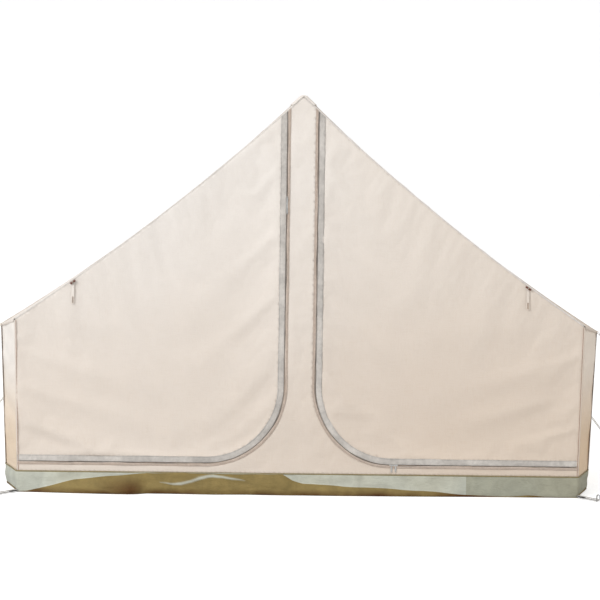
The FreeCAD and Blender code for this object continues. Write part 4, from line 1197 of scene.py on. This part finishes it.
# Stations across the front, from the left corner to the right one: where, height of the olive fold's crest,
# and how far the fold bulges forward.
TUB_FOLD = np.array([
    (-1.40, 0.003, 0.002),
    (-1.34, 0.006, 0.006),
    (-1.11, 0.062, 0.026),
    (-0.93, 0.082, 0.036),
    (-0.84, 0.091, 0.040),
    (-0.80, 0.094, 0.034),
    (-0.75, 0.099, 0.013),
    (-0.60, 0.100, 0.016),
    (-0.42, 0.100, 0.024),
    (-0.26, 0.099, 0.015),
    (-0.08, 0.098, 0.022),
    (-0.03, 0.070, 0.022),
    (0.02, 0.056, 0.021),
    (0.22, 0.043, 0.022),
    (0.38, 0.037, 0.018),
    (0.61, 0.026, 0.014),
    (0.82, 0.011, 0.008),
    (1.00, 0.004, 0.004),
    (1.14, 0.009, 0.006),
    (1.25, 0.004, 0.003),
    (1.40, 0.003, 0.002),
])
# A pale crease inside the fold: where, height and half width.
PALE_CREASE = np.array([
    (-0.68, 0.056, 0.000),
    (-0.63, 0.051, 0.003),
    (-0.58, 0.052, 0.006),
    (-0.53, 0.063, 0.005),
    (-0.49, 0.078, 0.007),
    (-0.455, 0.087, 0.006),
    (-0.42, 0.090, 0.006),
    (-0.38, 0.086, 0.005),
    (-0.33, 0.077, 0.004),
    (-0.26, 0.070, 0.000),
])
PALE_ROWS = 9
FOLD_ROWS = 24
REAR_CREST = 0.012
REAR_BULGE = 0.004
# Steps along the front, one narrow side wall, the five rear panels and the other side wall.
PERIMETER_STEPS = [round(2 * BASE_HALF / 0.010), 11, *[46] * GORES, 11]


def perimeter(height):
    """Closed line round the walls at a height, starting at the left front corner."""
    up = height / math.cos(LEAN)
    corners = [front(-seam_across(up), up), front(seam_across(up), up)]
    corners += [wall_corner(k, height) for k in range(GORES + 1)]
    line = []
    for i, corner in enumerate(corners):
        after = corners[(i + 1) % len(corners)]
        shares = np.arange(PERIMETER_STEPS[i])[:, None] / PERIMETER_STEPS[i]
        line.append(corner * (1 - shares) + after * shares)
    return np.concatenate(line)


def perimeter_outs(line):
    ahead = np.roll(line, -1, axis=0) - np.roll(line, 1, axis=0)
    return unit(np.stack([ahead[:, 1], -ahead[:, 0], np.zeros(len(line))], axis=1))


def make_tub():
    """Wall of the groundsheet: a pale band above, and the olive floor sheeting that folds up and out in
    front."""
    low, high = perimeter(0.0), perimeter(TUB_HEIGHT)
    outs = perimeter_outs(low)
    x = low[:, 0]
    in_front = np.clip((-SETBACK + 0.020 - low[:, 1]) / 0.020, 0, 1)
    crest = np.interp(x, TUB_FOLD[:, 0], TUB_FOLD[:, 1]) * in_front + REAR_CREST * (1 - in_front)
    bulge = np.interp(x, TUB_FOLD[:, 0], TUB_FOLD[:, 2]) * in_front + REAR_BULGE * (1 - in_front)
    crest = np.clip(crest + wobble(low, 9.0, 0.005, 11.0), 0.003, TUB_HEIGHT - 0.002)
    rings, shades = [], []

    def add(height, out, shade):
        share = (height / TUB_HEIGHT)[:, None]
        rings.append(low * (1 - share) + high * share + outs * out[:, None])
        shades.append(shade)

    ones = np.ones(len(low))
    for j in range(PALE_ROWS):
        down = j / (PALE_ROWS - 1)
        height = TUB_HEIGHT + (crest + 0.0012 - TUB_HEIGHT) * down
        spot = low + np.array([0, 0, 1.0]) * height[:, None]
        billow = 0.002 + wobble(spot * [1, 1, 3], 7.0, 0.006, 12.0) * math.sin(math.pi * down)
        round_in = (1 - in_front) * 0.010 * np.clip(1 - height / 0.035, 0, 1) ** 2
        add(height, billow - round_in, 0.0 * ones)
    for j in range(FOLD_ROWS):
        t = 1 - j / (FOLD_ROWS - 1)
        height = 0.0012 + (crest - 0.0012) * t
        spot = low + np.array([0, 0, 1.0]) * height[:, None]
        lip = bulge * (0.95 + 1.15 * t - 3.4 * t**2 + 1.42 * t**3) + 0.0012
        creases = wobble(spot * [5, 5, 26], 1.0, 0.007, 13.0) + wobble(spot * [16, 16, 60], 1.0, 0.003, 14.0)
        creases *= np.clip(crest / 0.05, 0.1, 1) * math.sin(math.pi * (0.12 + 0.80 * t)) * in_front
        round_in = (1 - in_front) * 0.010 * np.clip(1 - height / 0.035, 0, 1) ** 2
        pale_at = np.interp(x, PALE_CREASE[:, 0], PALE_CREASE[:, 1])
        pale_half = np.interp(x, PALE_CREASE[:, 0], PALE_CREASE[:, 2]) * in_front
        pale_drift = wobble(low, 22.0, 0.003, 17.0)
        pale = np.clip((pale_half - np.abs(height - pale_at - pale_drift)) / 0.006 + 0.5, 0, 1)
        pale = pale * (pale_half > 0)
        add(height, np.maximum(lip + creases, 0.001) + pale * 0.003 - round_in, ones - pale * 0.85)
    for out in (-0.006, -0.020):
        add(0.0011 * ones, bulge * 0.3 + out, ones)
    count, rows = len(low), len(rings)
    faces = []
    for j in range(rows - 1):
        for i in range(count):
            a, b = j * count + i, j * count + (i + 1) % count
            faces.append((a, a + count, b + count, b))
    tub = mesh_object("tub_wall", np.concatenate(rings), faces)
    set_shade(tub, np.concatenate(shades))
    thicken(tub, 0.0010, 0, -1.0)
    tent_piece(tub, "groundsheet", "groundsheet_upstand")

    centres = high + outs * 0.0022
    rings = band_rings(centres, np.tile([0.0, 0.0, 1.0], (len(high), 1)), outs, 0.0062, 0.0030)
    tent_piece(loft("tub_binding", rings, closed=True), "binding")


def make_floor():
    """Floor of the groundsheet, lying on the ground with shallow wrinkles and flat under the pole's foot."""
    line = perimeter(0.0)[:, :2]
    inward = -perimeter_outs(perimeter(0.0))[:, :2]
    outline = (line + inward * 0.010)[::2]
    flat, faces, fixed = flat_cloth(outline, 0.045)
    spots = np.column_stack([flat, np.zeros(len(flat))])
    away = np.clip((np.linalg.norm(flat, axis=1) - 0.05) / 0.15, 0, 1)
    ripple = (wobble(spots, 5.0, 0.004, 15.0) + wobble(spots, 14.0, 0.0015, 16.0)) * away
    spots[:, 2] = 0.0010 + np.maximum(ripple, 0.0)
    spots[fixed, 2] = 0.0010
    sheet = mesh_object("floor_sheet", spots, faces)
    set_shade(sheet, np.ones(len(spots)))
    thicken(sheet, 0.0007, 1)
    tent_piece(sheet, "floor_sheeting", "groundsheet_floor")


make_tub()
make_floor()

# ---------------------------------------------------------------- webbing loops, ropes and straps

GUY_SLOPE = math.radians(44)
RING_OUT = 0.034
ROPE_RADIUS = 0.002
STRAND_GAP = 0.012
TAIL_LONG = 0.480
BEND_HEIGHT = 0.014
EYE_AT = 0.0155
EYE_RADIUS = 0.008


class Frame:
    """Local axes: place() turns local points into the tent's own."""

    def __init__(self, origin, x_axis, y_axis):
        self.origin = np.array(origin, float)
        self.axes = np.array([x_axis, y_axis, np.cross(x_axis, y_axis)], float)

    def place(self, points):
        return self.origin + np.asarray(points, float) @ self.axes

    def turn(self, directions):
        return np.asarray(directions, float) @ self.axes


def guy_frame(k):
    """At guy ring k: X runs down along the rope and Y goes round the tent."""
    along = radial_of(k) * math.cos(GUY_SLOPE) - np.array([0.0, 0.0, math.sin(GUY_SLOPE)])
    return Frame(wall_corner(k, EAVE_HEIGHT) + along * RING_OUT, along, tangent_of(k))


def corner_frame(side):
    """At a front ground corner, level with its buckle: X runs forward and out along the strap."""
    heading = math.radians(-45 if side > 0 else -135)
    way = [math.cos(heading), math.sin(heading), 0.0]
    return Frame([side * BASE_HALF, -SETBACK, 0.0095], way, [-way[1], way[0], 0.0])


def loop_band(name, frame, start, long, radius, wide, thick, across):
    """Webbing loop round two ends. across is the local axis its width lies along, 1 for Y and 2 for Z."""
    ends = [(start + long, -90, 90), (start, 90, 270)]
    flat, outs = [], []
    for x, first, last in ends:
        turn = arc_points((0.0, 0.0), 1.0, first, last, 14)
        flat.append(turn * radius + (x, 0.0))
        outs.append(turn)
        straight = resample([flat[-1][-1], flat[-1][-1] + (long if x == start else -long, 0.0)], 0.006)[1:-1]
        flat.append(straight)
        outs.append(np.tile(turn[-1], (len(straight), 1)))
    flat, outs = np.concatenate(flat), np.concatenate(outs)
    zero = np.zeros(len(flat))
    if across == 1:
        centres, ways, width = [flat[:, 0], zero, flat[:, 1]], [outs[:, 0], zero, outs[:, 1]], [0, 1, 0]
    else:
        centres, ways, width = [flat[:, 0], flat[:, 1], zero], [outs[:, 0], outs[:, 1], zero], [0, 0, 1]
    centres, ways = np.stack(centres, axis=1), np.stack(ways, axis=1)
    sides = np.tile(np.array(width, float), (len(flat), 1))
    rings = band_rings(frame.place(centres), frame.turn(sides), frame.turn(ways), wide, thick)
    return loft(name, rings, closed=True)


def twisted(name, path, across, radius, pitch=0.014, closed=False, around=9):
    """Three-strand cord along a path that lies square to the direction across."""
    path = np.asarray(path, float)
    ahead = np.gradient(path, axis=0)
    if closed:
        ahead = np.roll(path, -1, axis=0) - np.roll(path, 1, axis=0)
    ahead = unit(ahead)
    across = np.tile(unit(np.asarray(across, float)), (len(path), 1))
    other = np.cross(ahead, across)
    gaps = np.linalg.norm(np.diff(path, axis=0), axis=1)
    along = np.concatenate([[0.0], np.cumsum(gaps)])
    if closed:
        whole = along[-1] + np.linalg.norm(path[0] - path[-1])
        pitch = whole / max(1, round(whole / pitch))
    rings = []
    for k in range(around):
        angle = 2 * math.pi * k / around
        swell = radius * (0.93 + 0.10 * np.cos(3 * angle - 2 * math.pi * along / pitch))[:, None]
        rings.append(path + swell * (across * math.cos(angle) + other * math.sin(angle)))
    return loft(name, np.stack(rings, axis=1), closed=closed)


def coil_path(start, turns, pitch, radius, centre, steps=14):
    """Helix round a line that runs along local X."""
    turn = np.linspace(0, 2 * math.pi * turns, int(turns * steps) + 1)
    x = start + turn / (2 * math.pi) * pitch
    return np.stack([x, centre[0] + radius * np.cos(turn), centre[1] + radius * np.sin(turn)], axis=1)


def plain_cord(name, path, radius, around=6):
    """Smooth thin cord along any path."""
    path = np.asarray(path, float)
    ahead = unit(np.gradient(path, axis=0))
    first = unit(np.cross(ahead, [0.13, 0.31, 0.94]))
    second = np.cross(ahead, first)
    angles = 2 * math.pi * np.arange(around) / around
    rings = [path + radius * (first * math.cos(a) + second * math.sin(a)) for a in angles]
    return loft(name, np.stack(rings, axis=1))


def make_guys():
    """Webbing loops at the eave, and ropes: an eye with its whipping, the main strand, the bend and the
    tail."""
    steep = math.sin(GUY_SLOPE)
    long = (wall_corner(0, EAVE_HEIGHT)[2] - RING_OUT * steep - BEND_HEIGHT) / steep
    loops, ropes, whippings = [], [], []
    start = EYE_AT + EYE_RADIUS
    bend = arc_points((long, STRAND_GAP / 2), STRAND_GAP / 2, -90, 90, 14)
    tail_end = long - TAIL_LONG
    strand = np.concatenate([
        resample([(start, 0.0), (long, 0.0)], 0.004)[:-1],
        bend,
        resample([(long, STRAND_GAP), (tail_end, STRAND_GAP)], 0.004)[1:],
    ])
    strand = np.column_stack([strand, np.zeros(len(strand))])
    eye = arc_points((EYE_AT, 0.0), EYE_RADIUS, 0, 360, 41)[:-1]
    eye = np.stack([eye[:, 0], np.zeros(40), eye[:, 1]], axis=1)
    knot = coil_path(tail_end - 0.004, 2.2, 0.0034, 0.0026, (STRAND_GAP, 0.0))
    whipping = coil_path(start - 0.001, 11.5, 0.00135, 0.0030, (0.0, 0.0), 12)
    for k in range(GORES + 1):
        frame = guy_frame(k)
        loops.append(loop_band(f"guy_loop_{k}", frame, -0.0275, 0.0255, 0.00375, 0.016, 0.0015, 1))
        up, round_tent = frame.turn([0, 0, 1]), frame.turn([0, 1, 0])
        ropes.append(twisted(f"guy_rope_{k}", frame.place(strand), up, ROPE_RADIUS))
        ropes.append(twisted(f"guy_eye_{k}", frame.place(eye), round_tent, ROPE_RADIUS, closed=True))
        ropes.append(plain_cord(f"guy_knot_{k}", frame.place(knot), ROPE_RADIUS, 8))
        whippings.append(plain_cord(f"guy_whipping_{k}", frame.place(whipping), 0.0008))
    tent_piece(merge("guy_webbing", loops), "seam_tape", "guy_loops")
    tent_piece(merge("guy_cords", ropes), "guy_rope", "guy_ropes")
    tent_piece(merge("guy_whippings", whippings), "thread")


def make_ground_webbing():
    """Peg loops at the rear corners, tabs and straps at the front ones, with their cross stitches."""
    loops, straps, rows = [], [], []
    for k in range(1, GORES):
        frame = Frame(radial_of(k) * (GROUND_RADIUS + 0.0083) + [0, 0, 0.010], radial_of(k), tangent_of(k))
        loops.append(loop_band(f"peg_loop_{k}", frame, 0.0, 0.024, 0.00725, 0.014, 0.0015, 2))
    for word, side in SIDES.items():
        frame = corner_frame(side)
        loops.append(loop_band(f"{word}_tab", frame, 0.0046, 0.01045, 0.00355, 0.016, 0.0015, 1))
        straps.append(loop_band(f"{word}_sling", frame, 0.02495, 0.09575, 0.00355, 0.016, 0.0015, 1))
        for x in (0.050, 0.056, 0.098):
            ends = frame.place([(x, -0.0065, 0.0043), (x, 0.0065, 0.0043)])
            rows.append((ends, frame.turn([(0, 0, 1), (0, 0, 1)])))
    tent_piece(merge("peg_webbing", loops), "grey_webbing", "peg_loops")
    tent_piece(merge("corner_webbing", straps), "grey_webbing", "corner_straps")
    tent_piece(dashes("corner_stitching", rows, *CROSS_STITCH), "thread_grey")


make_guys()
make_ground_webbing()

# ---------------------------------------------------------------- door ties

TIE_ACROSS = 1.128
TIE_DROP = 0.016
TIE_LONG = 0.105
TIE_WIDE = 0.015
TIE_CELL = 0.0025
# Buttonhole: half its width, and its ends counted up from the strap's top.
SLIT_HALF = 0.0014
SLIT_LOW = -TIE_LONG - 0.003
SLIT_HIGH = 0.028 - TIE_LONG
CORD_RING = 0.0062
CORD_OUT = 0.0081


def hang_out(down):
    """How far the strap stands off the wall, at a distance down it."""
    return 0.0014 + 0.0008 * np.sin(down / TIE_LONG * 2.6) ** 2


def make_tie(word, side):
    """Canvas strap with a stitched buttonhole, hanging from the toggle's cord ring under the roof's edge."""
    top = float(top_edge(TIE_ACROSS)) - TIE_DROP + 0.005
    centre = side * TIE_ACROSS
    half = TIE_WIDE / 2
    tip = arc_points((0.0, -TIE_LONG), half, 180, 360, 16)
    edges = [
        [(half, 0.0), (-half, 0.0)],
        [(-half, 0.0), (-half, -TIE_LONG)],
        tip,
        [(half, -TIE_LONG), (half, 0.0)],
    ]
    outline = close_outline([np.array(e) for e in edges], TIE_CELL)
    flat, faces, _ = flat_cloth(outline, TIE_CELL)
    middle = [flat[list(face)].mean(0) for face in faces]
    slit = [abs(m[0]) < SLIT_HALF and SLIT_LOW < m[1] < SLIT_HIGH for m in middle]
    faces = [face for face, gone in zip(faces, slit) if not gone]
    sway = hang_out(flat[:, 1])
    strap = mesh_object(f"{word}_strap", front(centre + flat[:, 0], top + flat[:, 1], -sway), faces)
    set_pattern(strap, flat)
    thicken(strap, 0.0012)
    tent_piece(strap, "tie_canvas", f"{word}_tie_strap")
    rows = []
    for offset in (-0.0028, 0.0028):
        line = resample([(offset, SLIT_HIGH + 0.001), (offset, SLIT_LOW)], 0.002)
        depth = -hang_out(line[:, 1]) - 0.0006
        rows.append((front(centre + line[:, 0], top + line[:, 1], depth), np.tile(-WALL_IN, (len(line), 1))))
    tent_piece(dashes(f"{word}_buttonhole", rows, *BUTTONHOLE_STITCH), "thread_soft")
    slope = math.atan2(float(top_edge(TIE_ACROSS - 0.05) - top_edge(TIE_ACROSS + 0.05)), 0.1)
    lie = ACROSS * math.cos(slope) - WALL_UP * side * math.sin(slope)
    hub = front(centre, top - 0.005, -CORD_OUT)
    turn = np.linspace(0, 2 * math.pi, 40, endpoint=False)[:, None]
    ring = hub + CORD_RING * (np.cos(turn) * -WALL_IN + np.sin(turn) * np.cross(lie, -WALL_IN))
    cord = twisted(f"{word}_toggle_cord", ring, lie, 0.0015, 0.008, closed=True)
    tent_piece(cord, "guy_rope")


for word, side in SIDES.items():
    make_tie(word, side)

# ---------------------------------------------------------------- hardware kept from the frame

ZIP_METAL = ("slider", "pull")
HARDWARE = {
    "pole_lower_tube": "pole_steel",
    "pole_upper_tube": "pole_steel",
    "pole_joint_sleeve": "sleeve_steel",
    "pole_foot": "foot_rubber",
    "pole_top_cap": "black_plastic",
    "guy_rings": "ring_steel",
    "guy_pegs": "peg_steel",
    "ground_pegs": "peg_steel",
    "corner_buckles": "black_plastic",
    "left_tie_toggle": "toggle_wood",
    "right_tie_toggle": "toggle_wood",
    **{f"guy_runner_{k + 1}": "runner_wood" for k in range(GORES + 1)},
    **{f"left_zip_{kind}_{end}": "slider_metal" for kind in ZIP_METAL for end in ("upper", "lower")},
    **{f"right_zip_{kind}_{end}": "slider_metal" for kind in ZIP_METAL for end in ("inner", "outer")},
}
for node, material in HARDWARE.items():
    for slot in bpy.data.objects[node].material_slots:
        slot.material = MATERIALS[material]

# ---------------------------------------------------------------- stage, light and camera


FLOOR_GLOW = 0.42  # lifts the floor to white for the camera only
STAGE_RINGS = [(0.0, 0.0), (14.0, 0.0), (22.0, 0.0), (27.0, 0.8), (31.0, 3.5), (33.0, 9.0), (33.5, 20.0)]


def make_stage():
    """Pale floor that curves up far away on every side, so that it runs into the background."""
    rings = []
    angles = np.linspace(0, 2 * math.pi, 64, endpoint=False)
    for radius, height in STAGE_RINGS:
        ring = [radius * np.cos(angles), radius * np.sin(angles), np.full(len(angles), height)]
        rings.append(np.stack(ring, axis=1))
    floor = loft("floor", rings, caps=False)
    s = Shader("floor_paint")
    cloud = s.noise(s.spot, 0.4, 3.0)
    seen = s.ramp(cloud, 0.3, 0.7, (0.90, 0.90, 0.90), (0.93, 0.93, 0.93))
    from_camera = s.node("LightPath").outputs["Is Camera Ray"]
    s.links.new(from_camera, s.main.inputs["Emission Strength"])
    s.main.inputs["Emission Color"].default_value = (FLOOR_GLOW, FLOOR_GLOW, FLOOR_GLOW, 1)
    floor.data.materials.append(s.finish(s.mix(from_camera, (0.62, 0.62, 0.62), seen), 0.9))


def make_light():
    world = bpy.data.worlds.new("studio")
    scene.world = world
    world.use_nodes = True
    back = world.node_tree.nodes["Background"]
    back.inputs["Color"].default_value = (1.0, 1.0, 1.0, 1)
    back.inputs["Strength"].default_value = 0.84
    key = ("key", 610, 4.0, (-6.5, -6.5, 6.0), (1.0, 1.0, 1.0))
    fill = ("fill", 130, 6.0, (7.0, -5.0, 2.5), (1.0, 0.93, 0.85))
    for name, energy, size, place, colour in (key, fill):
        lamp = bpy.data.lights.new(name, "AREA")
        lamp.energy = energy
        lamp.color = colour
        lamp.size = size
        obj = bpy.data.objects.new(name, lamp)
        obj.location = place
        obj.rotation_euler = (Vector((0, 0, 0.8)) - Vector(place)).to_track_quat("-Z", "Y").to_euler()
        scene.collection.objects.link(obj)


def make_camera():
    """Camera eight metres in front of the tent, a little above its middle and turned a little clockwise."""
    yaw, pitch, roll = 0.0192, -0.0913, -0.0157
    camera = bpy.data.cameras.new("camera")
    camera.lens = 95.9
    camera.clip_end = 200
    obj = bpy.data.objects.new("camera", camera)
    obj.location = (-0.168, -8.0, 1.684)
    obj.rotation_euler = (math.pi / 2 + pitch, roll, -yaw)
    scene.collection.objects.link(obj)
    scene.camera = obj


make_stage()
make_light()
make_camera()
scene.view_settings.view_transform = "Standard"
